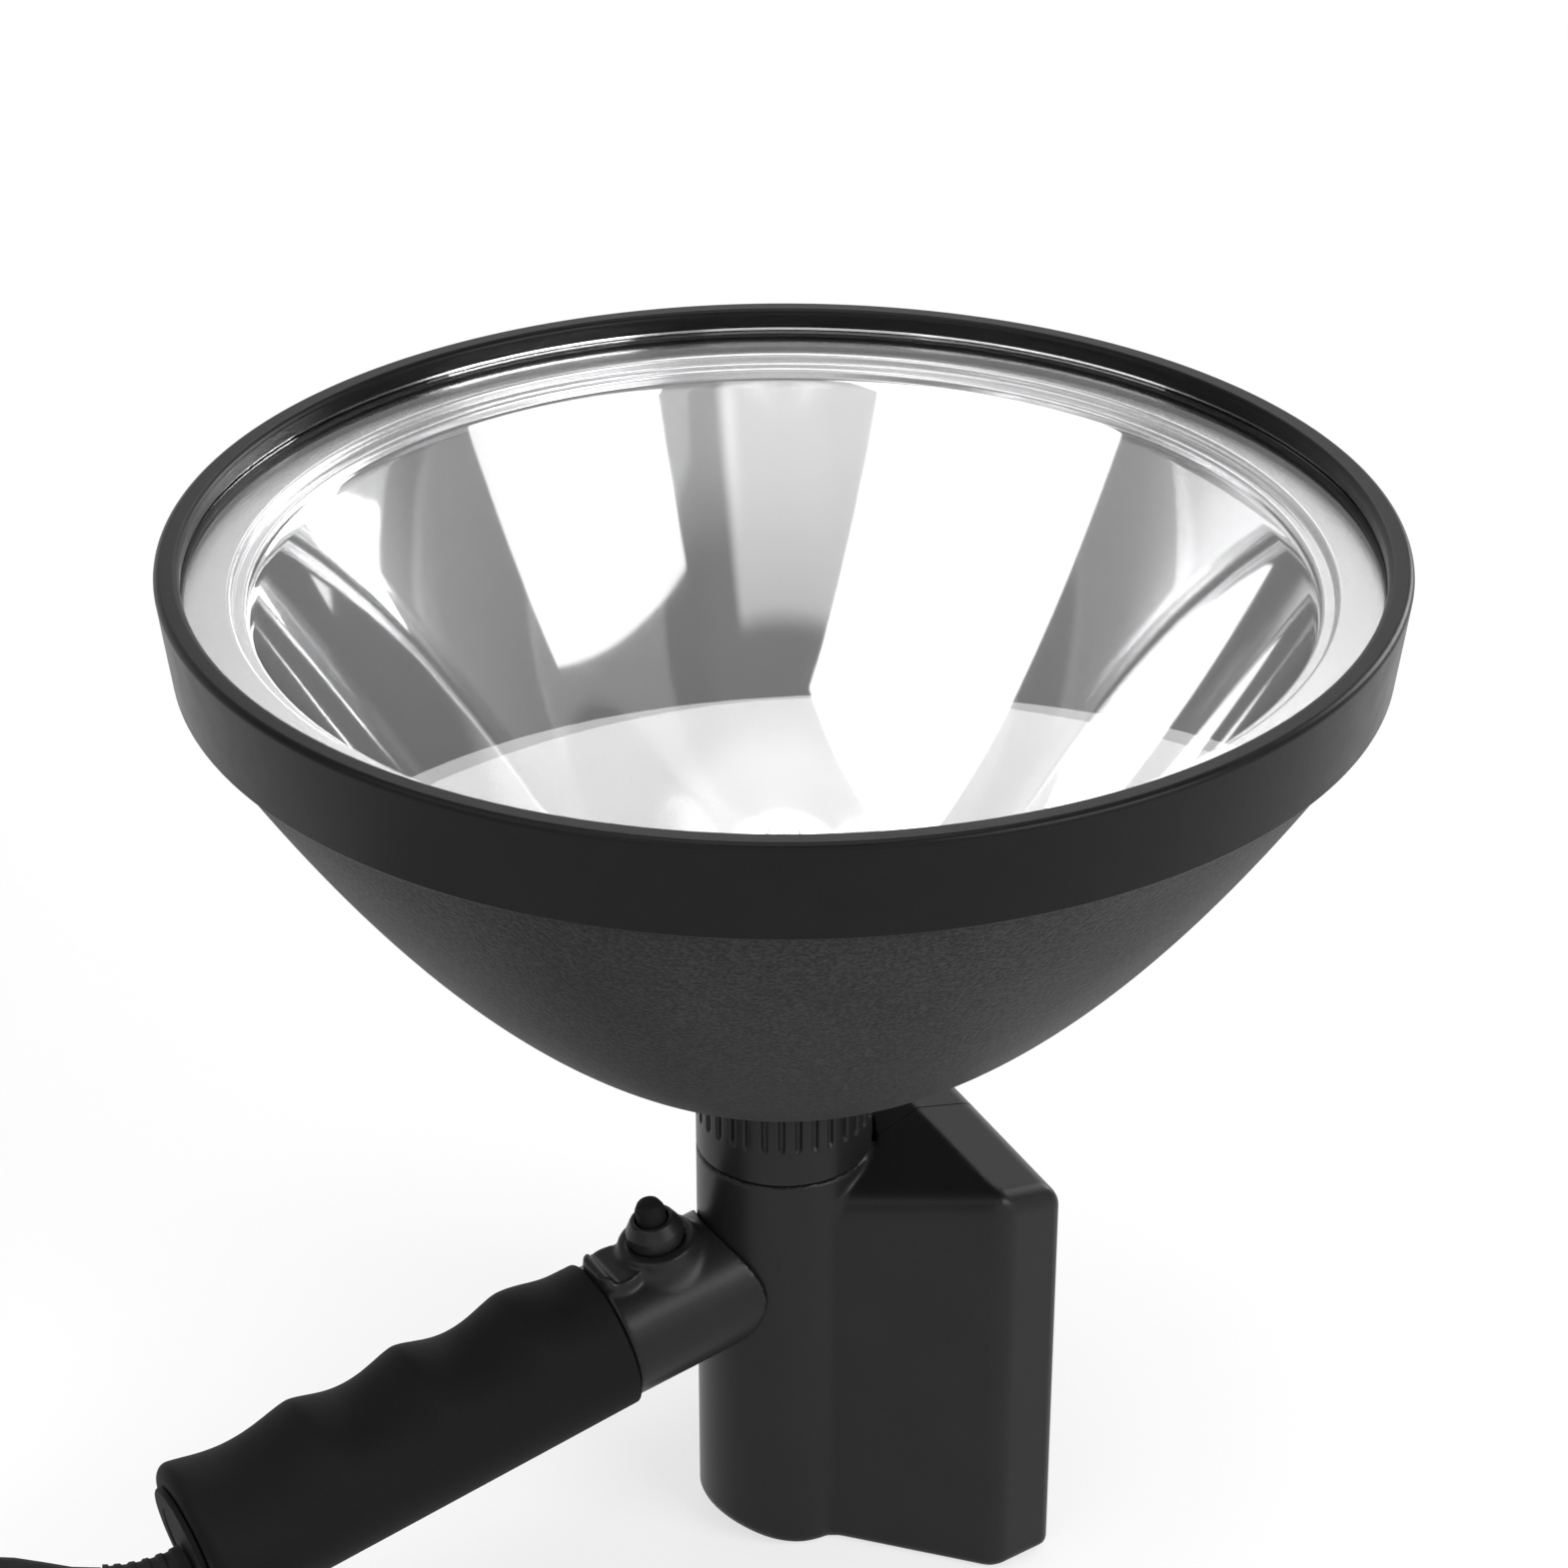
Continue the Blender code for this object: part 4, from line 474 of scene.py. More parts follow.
def level_surface(distance, space, cell, creases=()):
    """The surface where a distance is zero, in a space given by its lowest and its highest corner.

    The space is cut into cells. Each cell that the surface passes has one point, the mean of its edge
    crossings, and each cell edge that is crossed has one face through its four cells. Every point is then put
    on the surface, and points near a crease of two shapes are put on both of them.
    """
    axes = [np.arange(a, b + cell, cell) for a, b in zip(*space)]
    size = np.array([len(a) for a in axes])
    values = distance(*np.meshgrid(*axes, indexing="ij"))
    inside = values < 0
    corners = np.array([(i, j, k) for i in (0, 1) for j in (0, 1) for k in (0, 1)])
    count = sum(inside[tuple(slice(o, n - 1 + o) for o, n in zip(c, size))].astype(int) for c in corners)
    cells = np.argwhere((count > 0) & (count < len(corners)))
    number = np.full(size - 1, -1)
    number[tuple(cells.T)] = np.arange(len(cells))
    total, crossings = np.zeros((len(cells), 3)), np.zeros((len(cells), 1))
    edges = [(a, b) for a in corners for b in corners if (b - a).sum() == 1 and np.abs(b - a).sum() == 1]
    for a, b in edges:
        va, vb = values[tuple((cells + a).T)], values[tuple((cells + b).T)]
        crossed = ((va < 0) != (vb < 0))[:, None]
        share = np.where(crossed[:, 0], va / np.where(va == vb, 1, va - vb), 0)[:, None]
        total += np.where(crossed, a + share * (b - a), 0)
        crossings += crossed
    points = np.array([a[0] for a in axes]) + cell * (cells + total / crossings)
    quads = []
    for axis in range(3):
        near = [slice(None)] * 3
        far = [slice(None)] * 3
        near[axis], far[axis] = slice(0, -1), slice(1, None)
        a, b = inside[tuple(near)], inside[tuple(far)]
        at = np.argwhere(a != b)
        u, v = (axis + 1) % 3, (axis + 2) % 3
        at = at[(at[:, u] > 0) & (at[:, v] > 0) & (at[:, u] < size[u] - 1) & (at[:, v] < size[v] - 1)]
        outward = a[tuple(at.T)]
        ring = []
        for du, dv in ((0, 0), (-1, 0), (-1, -1), (0, -1)):
            c = at.copy()
            c[:, u] += du
            c[:, v] += dv
            ring.append(number[tuple(c.T)])
        ring = np.stack(ring, 1)
        quads.append(np.where(outward[:, None], ring, ring[:, ::-1]))
    points = on_surface(distance, points, 0.5 * cell)
    reach = 0.7 * cell
    for first, second in creases:
        near = (np.abs(first(*points.T)) < reach) & (np.abs(second(*points.T)) < reach)
        points[near] = on_crease(first, second, points[near], cell)
    return points, np.concatenate(quads)


# Finishes


class Sum:
    """A shader socket that can be added, multiplied or compared like a number."""

    def __init__(self, tree, socket):
        self.tree = tree
        self.socket = socket

    def with_other(self, operation, other, swapped=False):
        node = self.tree.nodes.new("ShaderNodeMath")
        node.operation = operation
        for slot, value in zip(node.inputs, (other, self) if swapped else (self, other)):
            connect(self.tree, slot, value)
        return Sum(self.tree, node.outputs[0])

    def __add__(self, other):
        return self.with_other("ADD", other)

    def __rsub__(self, other):
        return self.with_other("SUBTRACT", other, swapped=True)

    def __mul__(self, other):
        return self.with_other("MULTIPLY", other)

    def __gt__(self, other):
        return self.with_other("GREATER_THAN", other)

    __radd__ = __add__
    __rmul__ = __mul__


def connect(tree, slot, value):
    """Link a socket, or set it to a number or a colour."""
    if isinstance(value, Sum):
        tree.links.new(value.socket, slot)
    else:
        slot.default_value = value


class Finish:
    """The nodes of a material or a world under construction."""

    def __init__(self, owner):
        owner.use_nodes = True
        self.owner = owner
        self.tree = owner.node_tree

    def node(self, kind, settings=None, values=None, output=0):
        """Add a node: its settings first, then the values or links of its sockets."""
        node = self.tree.nodes.new(kind)
        for key, value in (settings or {}).items():
            if key == "stops":
                while len(node.color_ramp.elements) < len(value):
                    node.color_ramp.elements.new(0.5)
                for element, (position, tone) in zip(node.color_ramp.elements, value):
                    element.position = position
                    element.color = tone
            else:
                setattr(node, key, value)
        for key, value in (values or {}).items():
            connect(self.tree, node.inputs[key], value)
        return Sum(self.tree, node.outputs[output])

    def place(self, scale=(1, 1, 1)):
        """The piece's own coordinates in metres, stretched along the axes."""
        own = self.node("ShaderNodeTexCoord", output="Object")
        return self.node("ShaderNodeMapping", None, {"Vector": own, "Scale": scale})

    def noise(self, size, detail, where=None):
        """Soft random values whose spots are about one size across, in metres."""
        values = {"Scale": 1 / size, "Detail": detail, "Vector": where or self.place()}
        return self.node("ShaderNodeTexNoise", None, values)

    def vector(self, operation, *values, output="Vector"):
        """Vector maths on one or two vectors."""
        return self.node("ShaderNodeVectorMath", {"operation": operation}, dict(enumerate(values)), output)

    def slide(self, value, low, high, start=0.0, end=1.0, form="SMOOTHSTEP"):
        """A value that goes from start to end between two limits, with soft ends unless it is LINEAR."""
        values = {"Value": value, "From Min": low, "From Max": high, "To Min": start, "To Max": end}
        return self.node("ShaderNodeMapRange", {"interpolation_type": form}, values)

    def between(self, factor, low, high):
        """A mix of two colours, which are sockets 6 and 7 of the node, and the mix is its output 2."""
        return self.node("ShaderNodeMix", {"data_type": "RGBA"}, {0: factor, 6: low, 7: high}, 2)

    def bump(self, height, distance, strength=1.0):
        """A surface raised by up to a distance in metres."""
        values = {"Height": height, "Distance": distance, "Strength": strength}
        return self.node("ShaderNodeBump", None, values)

    def rays(self, kind):
        """1 for one kind of ray, such as Camera or Shadow, and 0 for the others."""
        return self.node("ShaderNodeLightPath", output=f"Is {kind} Ray")

    def done(self, **sockets):
        """Set the main shader's sockets by name, with spaces as underscores."""
        shader = self.tree.nodes["Principled BSDF"]
        for key, value in sockets.items():
            connect(self.tree, shader.inputs[key.replace("_", " ")], value)
        return self.owner

    def mixed(self, factor, other):
        """Mix another shader over the main one, as far as a factor says."""
        main_shader = Sum(self.tree, self.tree.nodes["Principled BSDF"].outputs[0])
        both = self.node("ShaderNodeMixShader", None, {0: factor, 1: main_shader, 2: other})
        connect(self.tree, self.tree.nodes["Material Output"].inputs["Surface"], both)
        return self.owner


def new_finish(name):
    """A new material, ready for its nodes."""
    return Finish(bpy.data.materials.new(name))


def colour(name, factor=1.0):
    """One of the panel's colours with full opacity, darker or lighter by a factor."""
    picked = getattr(bpy.context.scene.searchlight_colours, name)
    return (picked[0] * factor, picked[1] * factor, picked[2] * factor, 1)


def satin_finish():
    """Moulded satin plastic: faint cloudiness, an orange-peel skin and fine dust."""
    f = new_finish("satin_plastic")
    cloud = f.noise(0.018, 3)
    peel = f.noise(0.0011, 2)
    dust = f.noise(0.0004, 1) > 0.74
    base = f.between(cloud, colour("body", 0.8), colour("body", 1.25))
    return f.done(
        Base_Color=f.between(dust * 0.25, base, colour("body", 3)),
        Roughness=0.29 + cloud * 0.10 + dust * 0.15,
        Specular_IOR_Level=0.19,
        Normal=f.bump(peel * 0.6 + f.noise(0.0003, 1) * 0.4, 0.00003),
    )


def grained_finish():
    """The bowl's spark-eroded grain: small raised grains, whose tops are painted paler as glints."""
    f = new_finish("grained_plastic")
    grain = f.noise(0.0009, 1)
    fine = f.noise(0.00055, 1)
    tone = f.noise(0.020, 2)
    height = grain * 0.6 + fine * 0.4
    stops = [(0.44, (0, 0, 0, 1)), (0.60, (1, 1, 1, 1))]
    # Painted glints: the base colour gets paler where the grain stands higher, standing in for highlights on
    # the grain tops
    painted_glint = f.node("ShaderNodeValToRGB", {"stops": stops}, {"Fac": height})
    return f.done(
        Base_Color=f.between(painted_glint, colour("bowl", 0.40), colour("bowl", 2.2)),
        Roughness=0.50 + tone * 0.1,
        Specular_IOR_Level=0.14,
        Sheen_Weight=0.035,
        Sheen_Roughness=0.35,
        Normal=f.bump(height, 0.00030),
    )


def bezel_finish():
    """The front ring: smoother, darker plastic with faint turned lines and scuffs."""
    f = new_finish("bezel_plastic")
    lines = f.noise(0.0012, 2, f.place((0.04, 0.04, 1)))
    scuff = f.noise(0.006, 4)
    return f.done(
        Base_Color=f.between(scuff, colour("bezel", 0.8), colour("bezel", 1.3)),
        Roughness=0.28 + scuff * 0.12,
        Specular_IOR_Level=0.13,
        Normal=f.bump(lines * 0.5 + f.noise(0.0008, 1) * 0.5, 0.000025),
    )


def rubber_finish(name, size, level):
    """Matt rubber with a fine sanded skin."""
    f = new_finish(name)
    grain = f.noise(size, 3)
    cloud = f.noise(0.012, 3)
    return f.done(
        Base_Color=f.between(cloud, colour("rubber", 0.75), colour("rubber", 1.3)),
        Roughness=0.62 + cloud * 0.14,
        Specular_IOR_Level=level,
        Normal=f.bump(grain, 0.00005),
    )


def mirror_finish():
    """Vacuum-plated mirror: a long soft waviness in an even polish, and a duller flange outside the mouth."""
    f = new_finish("mirror_plating")
    wave = f.noise(0.028, 1)
    haze = f.noise(0.006, 3)
    reach = f.vector("LENGTH", f.place((1, 1, 0)), output="Value")
    flange = f.slide(reach, MIRROR_MOUTH + 0.0003, MIRROR_MOUTH + 0.0009, form="LINEAR")
    polish = f.between(haze, colour("mirror", 0.97), colour("mirror"))
    return f.done(
        Base_Color=f.between(flange, polish, colour("mirror", 0.66)),
        Metallic=1.0,
        Roughness=0.035 + haze * 0.02 + flange * 0.20,
        Normal=f.bump(wave, 0.00010, 0.35),
    )


def clear_finish(name, roughness):
    """Clear glass that lets lamp light through to what lies behind it."""
    f = new_finish(name)
    smear = f.noise(0.010, 3)
    f.done(
        Base_Color=f.between(smear, colour("glass", 0.985), colour("glass")),
        Roughness=roughness,
        IOR=1.5,
        Transmission_Weight=1.0,
    )
    return f.mixed(f.rays("Shadow"), f.node("ShaderNodeBsdfTransparent"))


def metal_finish(name, tone, roughness, lined):
    """Plated or cast metal: brushed or pitted, with darker spots where it has dulled."""
    f = new_finish(name)
    grain = f.noise(0.0006, 3, f.place((1, 1, 0.08)) if lined else None)
    dull = f.noise(0.004, 3)
    bright, dim = (tone, tone, tone * 1.02, 1), (tone * 0.72, tone * 0.72, tone * 0.74, 1)
    return f.done(
        Base_Color=f.between(dull, bright, dim),
        Metallic=1.0,
        Roughness=roughness + grain * 0.12,
        Normal=f.bump(grain, 0.00002),
    )


def ceramic_finish():
    """Unglazed white ceramic with fine pores."""
    f = new_finish("white_ceramic")
    pores = f.noise(0.0005, 3)
    return f.done(
        Base_Color=f.between(pores, (0.82, 0.80, 0.76, 1), (0.70, 0.68, 0.64, 1)),
        Roughness=0.45 + pores * 0.1,
        Normal=f.bump(pores, 0.00003),
    )


# Each look with its slot and its maker; only CAD nodes, which keep their own slots, have the cast look
LOOKS = {
    "satin": ("satin_black_plastic", satin_finish),
    "grained": ("grained_black_plastic", grained_finish),
    "bezel": ("bezel_black_plastic", bezel_finish),
    "grip": ("black_rubber", lambda: rubber_finish("grip_rubber", 0.00055, 0.10)),
    "cord": ("black_rubber", lambda: rubber_finish("cord_rubber", 0.0009, 0.25)),
    "mirror": ("reflector_mirror", mirror_finish),
    "lens": ("clear_glass", lambda: clear_finish("lens_glass", 0.0)),
    "quartz": ("clear_glass", lambda: clear_finish("quartz_glass", 0.02)),
    "steel": ("plated_steel", lambda: metal_finish("plated_steel", 0.60, 0.22, lined=True)),
    "cast": (None, lambda: metal_finish("cast_aluminium", 0.50, 0.40, lined=False)),
    "ceramic": ("white_ceramic", ceramic_finish),
}
FINISHES = {}


def finish(look):
    """One of the light's finishes, made when it is first asked for."""
    if look not in FINISHES:
        FINISHES[look] = LOOKS[look][1]()
    return FINISHES[look]


# The cord


def coil_line():
    """The coil's middle line: layers spiral in or out evenly and climb one pitch in the turns between."""
    stages = []
    inner = COIL_RADIUS - LAYER_TURNS * COIL_PITCH
    for layer in range(COIL_LAYERS):
        ends = (COIL_RADIUS, inner) if layer % 2 == 0 else (inner, COIL_RADIUS)
        stages.append((LAYER_TURNS, *ends, layer, layer))
        if layer < COIL_LAYERS - 1:
            stages.append((CLIMB_TURNS, ends[1], ends[1], layer, layer + 1))
    begun = FIRST_TURN
    lines = []
    for turns, radius_from, radius_to, layer_from, layer_to in stages:
        share = np.arange(round(turns * TURN_STEPS)) / round(turns * TURN_STEPS)
        radius = radius_from + (radius_to - radius_from) * share
        height = COIL_FLOOR_Z + COIL_PITCH * (layer_from + (layer_to - layer_from) * share)
        lines.append(round_points(radius, 2 * math.pi * (begun + turns * share), height))
        begun += turns
    top = COIL_FLOOR_Z + (COIL_LAYERS - 1) * COIL_PITCH
    lines.append(round_points(np.array([radius_to]), 2 * math.pi * begun, top))
    line = np.concatenate(lines) + [COIL_X, COIL_Y, 0]
    straight = [CORD_STEP, 0, 0]
    return np.concatenate([line[:1] + straight, line, line[-1:] + straight])


def smooth_route(points):
    """Even points on a curve whose tangent at each route point runs between its neighbours."""
    p = np.asarray(points, float)
    a, b, c, d = (p[i : len(p) - 3 + i][:, None] for i in range(4))
    t = (np.arange(ROUTE_STEPS) / ROUTE_STEPS)[None, :, None]
    bend, twist = 2 * a - 5 * b + 4 * c - d, 3 * b - a - 3 * c + d
    dense = 0.5 * (2 * b + (c - a) * t + bend * t**2 + twist * t**3)
    dense = np.concatenate([dense.reshape(-1, 3), p[-2:-1]])
    length = np.concatenate([[0], np.cumsum(np.linalg.norm(np.diff(dense, axis=0), axis=1))])
    want = np.linspace(0, length[-1], max(2, round(length[-1] / CORD_STEP)) + 1)
    even = np.stack([np.interp(want, length, dense[:, i]) for i in range(3)], 1)
    return np.concatenate([p[:1], even, p[-1:]])


def sleeve_line(steps):
    """The cord sleeve's middle line, one even bend from the butt cap, and the cord's way out of it."""
    level = math.cos(SLEEVE_RISE)
    out = Vector((-math.cos(SLEEVE_TURN) * level, math.sin(SLEEVE_TURN) * level, math.sin(SLEEVE_RISE)))
    out.normalize()
    start = HANDLE_ROOT + HANDLE_AXIS * (GRIP_END + CAP_LIP + 2 * FIT) - HANDLE_UP * SLEEVE_DROP
    bend = start + HANDLE_AXIS * SLEEVE_REACH
    tip = bend + out * SLEEVE_REACH
    t = np.linspace(0, 1, steps + 1)[:, None]
    line = np.array(start) * (1 - t) ** 2 + np.array(bend) * (2 * t * (1 - t)) + np.array(tip) * t**2
    return line, np.array(out)


def cord_line():
    """The whole cord: from its sleeve down to the coil, round it, and up over to the plug."""
    line, out = sleeve_line(6)
    start = line[-1] + out * FIT
    coil = coil_line()
    entry, leave = coil[0] + [FIT, 0, 0], coil[-1] + [FIT, 0, 0]
    straight = np.array([CORD_STEP, 0, 0])
    down = [
        start, start + out * CORD_STEP, (-0.1760, 0.0120, 0.0400), (-0.1920, 0.0235, 0.0360),
        (-0.2070, 0.0370, 0.0260), (-0.2195, 0.0510, 0.0145), (-0.2310, 0.0610, 0.0073),
        entry + straight, entry,
    ]
    tail = np.array(PLUG_TAIL) - [FIT, 0, 0]
    over = [
        leave, leave + straight, (-0.2420, -0.0238, 0.0255), (-0.2300, -0.0270, 0.0210),
        (-0.2180, -0.0310, 0.0152), tail - straight, tail,
    ]
    return np.concatenate([smooth_route(down), coil, smooth_route(over)])


# Settings


class SearchlightSizes(bpy.types.PropertyGroup):
    """Sizes that a user would change."""

    cord_radius: FloatProperty(
        name="Cord radius", description="Radius of the cord", default=0.003, unit="LENGTH"
    )
    ribs: IntProperty(name="Collar ribs", description="Ribs round the focus collar", default=32, min=8)
    groove_depth: FloatProperty(
        name="Collar groove", description="Depth of the collar's grooves", default=0.0008, unit="LENGTH"
    )
    finger_depth: FloatProperty(
        name="Finger groove", description="Depth of the grip's finger grooves", default=0.0037, unit="LENGTH"
    )
    segments: IntProperty(name="Head segments", description="Steps round the head", default=288, min=32)


def colour_property(name, description, default):
    """A colour of the panel."""
    return FloatVectorProperty(name=name, description=description, subtype="COLOR", default=default)


class SearchlightColours(bpy.types.PropertyGroup):
    """Colours of the finishes."""

    body: colour_property("Body", "Satin plastic", (0.0105, 0.0105, 0.0107))
    bowl: colour_property("Bowl", "Grained plastic", (0.0095, 0.0095, 0.0098))
    bezel: colour_property("Front ring", "Ring plastic", (0.005, 0.005, 0.005))
    rubber: colour_property("Rubber", "Grip and cord", (0.0065, 0.0065, 0.0065))
    mirror: colour_property("Mirror", "Reflector plating", (0.93, 0.93, 0.94))
    glass: colour_property("Glass", "Front glass", (0.99, 0.99, 0.99))


# Pieces


class SEARCHLIGHT_OT_cord(bpy.types.Operator):
    """Add the cord with its coil"""

    bl_idname = "searchlight.cord"
    bl_label = "Cord"

    def execute(self, context):
        radius = context.scene.searchlight_sizes.cord_radius
        line = cord_line()
        curve = bpy.data.curves.new("cord", "CURVE")
        curve.dimensions = "3D"
        curve.bevel_depth = radius
        curve.bevel_resolution = 4
        curve.use_fill_caps = True
        spline = curve.splines.new("POLY")
        spline.points.add(len(line) - 1)
        spline.points.foreach_set("co", np.column_stack([line, np.ones(len(line))]).ravel())
        curve.materials.append(finish("cord"))
        cord = added("cord", curve)
        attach(cord, "body")
        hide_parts("power_cord", "cord_coil", "plug_lead")
        return {"FINISHED"}


class SEARCHLIGHT_OT_tie(bpy.types.Operator):
    """Add the band that holds the coil"""

    bl_idname = "searchlight.tie"
    bl_label = "Coil tie"

    def execute(self, context):
        """A thin rounded section is carried round a rounded rectangle in X and Z, square to it."""
        low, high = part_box("cord_tie")
        half = TIE_THICKNESS / 2
        mid = rectangle((low[0] + half, low[2] + half), (high[0] - half, high[2] - half), TIE_ROUND, steps=8)
        way = np.roll(mid, -1, 0) - np.roll(mid, 1, 0)
        way /= np.linalg.norm(way, axis=1, keepdims=True)
        outward = np.stack([way[:, 1], -way[:, 0]], 1)
        width = (high[1] - low[1]) / 2
        section = rectangle((-half, -width), (half, width), TIE_EDGE_ROUND, steps=3)
        flat = mid[:, None] + outward[:, None] * section[None, :, 0:1]
        across = np.broadcast_to((low[1] + high[1]) / 2 + section[None, :, 1], flat.shape[:2])
        points = np.stack([flat[..., 0], across, flat[..., 1]], -1)
        shape = (points, grid_quads(len(mid), len(section), wrap_rows=True))
        piece("made_cord_tie", shape, "satin", "body", "cord_tie")
        return {"FINISHED"}


class SEARCHLIGHT_OT_plug(bpy.types.Operator):
    """Add the accessory plug with its sprung contacts"""

    bl_idname = "searchlight.plug"
    bl_label = "Accessory plug"

    def execute(self, context):
        """The body has grooves between its tail and its nose; the ring and the tip stand on the nose."""
        outline = [
            (0, 0, 0), (PLUG_TAIL_RADIUS, 0, 0.0012), (0.0070, 0.002, 0.001), (PLUG_RADIUS, 0.012, 0.003),
        ]
        floor = PLUG_RADIUS - PLUG_GROOVE_DEPTH
        for z in PLUG_GROOVES:
            outline += [
                (PLUG_RADIUS, z - PLUG_GROOVE_HALF_WIDTH, 0.0004), (floor, z - PLUG_GROOVE_FLOOR, 0.0004),
                (floor, z + PLUG_GROOVE_FLOOR, 0.0004), (PLUG_RADIUS, z + PLUG_GROOVE_HALF_WIDTH, 0.0004),
            ]
        outline += [
            (PLUG_RADIUS, NOSE_START, 0.0012), (NOSE_RADIUS, NOSE_START, 0.0003),
            (NOSE_RADIUS, NOSE_END, 0.0006), (NOSE_BORE, NOSE_END, 0.0002), (NOSE_BORE, NOSE_BORE_FOOT, 0),
            (0, NOSE_BORE_FOOT, 0),
        ]
        self.slots(turned(
            "made_plug_body", outline, "satin", "body", "plug_body", closed=False, steps=4, place=PLUG_PLACE
        ))
        ring = [
            (NOSE_BORE, NOSE_END + FIT, 0.0003), (PLUG_RING_RADIUS, NOSE_END + FIT, 0.0004),
            (PLUG_RING_RADIUS, PLUG_RING_WALL_END, 0.0016), (PLUG_RING_TOP_RADIUS, PLUG_RING_END, 0.0006),
            (NOSE_BORE, PLUG_RING_END, 0.0003),
        ]
        turned("made_plug_ring", ring, "steel", "body", "plug_ring", place=PLUG_PLACE)
        t = np.linspace(0, math.pi / 2, 12)
        dome = np.stack([TIP_RADIUS * np.cos(t), TIP_END - TIP_DOME + TIP_DOME * np.sin(t)], 1)
        tip = np.concatenate([[(0, TIP_START), (TIP_RADIUS, TIP_START)], dome])
        piece("made_plug_tip", spun(tip, 64, closed=False), "steel", "tip", "plug_tip", place=PLUG_PLACE)
        for number, side in ((1, -1), (2, 1)):
            self.contact(number, side)
        return {"FINISHED"}

    def slots(self, body):
        """Cut the two slots for the side contacts."""
        for side in (-1, 1):
            x = (-SLOT_HALF_WIDTH, SLOT_HALF_WIDTH)
            y = (side * (NOSE_RADIUS - SLOT_DEPTH), side * (NOSE_RADIUS + SLOT_OVERRUN))
            grid = np.array([(a, b, c) for a in x for b in y for c in SLOT_ENDS])
            faces = [(0, 1, 3, 2), (4, 6, 7, 5), (0, 4, 5, 1), (2, 3, 7, 6), (0, 2, 6, 4), (1, 5, 7, 3)]
            mesh = bpy.data.meshes.new("slot_cutter")
            mesh.from_pydata(placed(grid, PLUG_PLACE).tolist(), [], faces)
            turn_outwards(mesh)
            cutter = added("slot_cutter", mesh)
            step = body.modifiers.new("slot", "BOOLEAN")
            step.operation = "DIFFERENCE"
            step.object = cutter
            with bpy.context.temp_override(object=body, active_object=body):
                bpy.ops.object.modifier_apply(modifier=step.name)
            bpy.data.objects.remove(cutter)

    def contact(self, number, side):
        """A strip bent outwards: its rise follows one hump along its length, a cosine to the power 0.8."""
        share = np.linspace(-0.5, 0.5, 40)
        outer = NOSE_RADIUS + CONTACT_RISE * np.clip(np.cos(share * math.pi), 0, 1) ** 0.8
        inner = np.maximum(outer - CONTACT_THICKNESS, CONTACT_SEAT)
        section = rectangle((-CONTACT_HALF_WIDTH, 0), (CONTACT_HALF_WIDTH, 1), 0, steps=1)
        depth = outer[:, None] + (inner - outer)[:, None] * section[None, :, 1]
        along = (CONTACT_MIDDLE + share * CONTACT_LENGTH)[:, None]
        rings = np.stack(np.broadcast_arrays(section[None, :, 0], side * depth, along), -1)
        node = f"plug_side_contact_{number}"
        piece(f"made_{node}", tube(rings), "steel", f"contact_{number}", node, place=PLUG_PLACE)


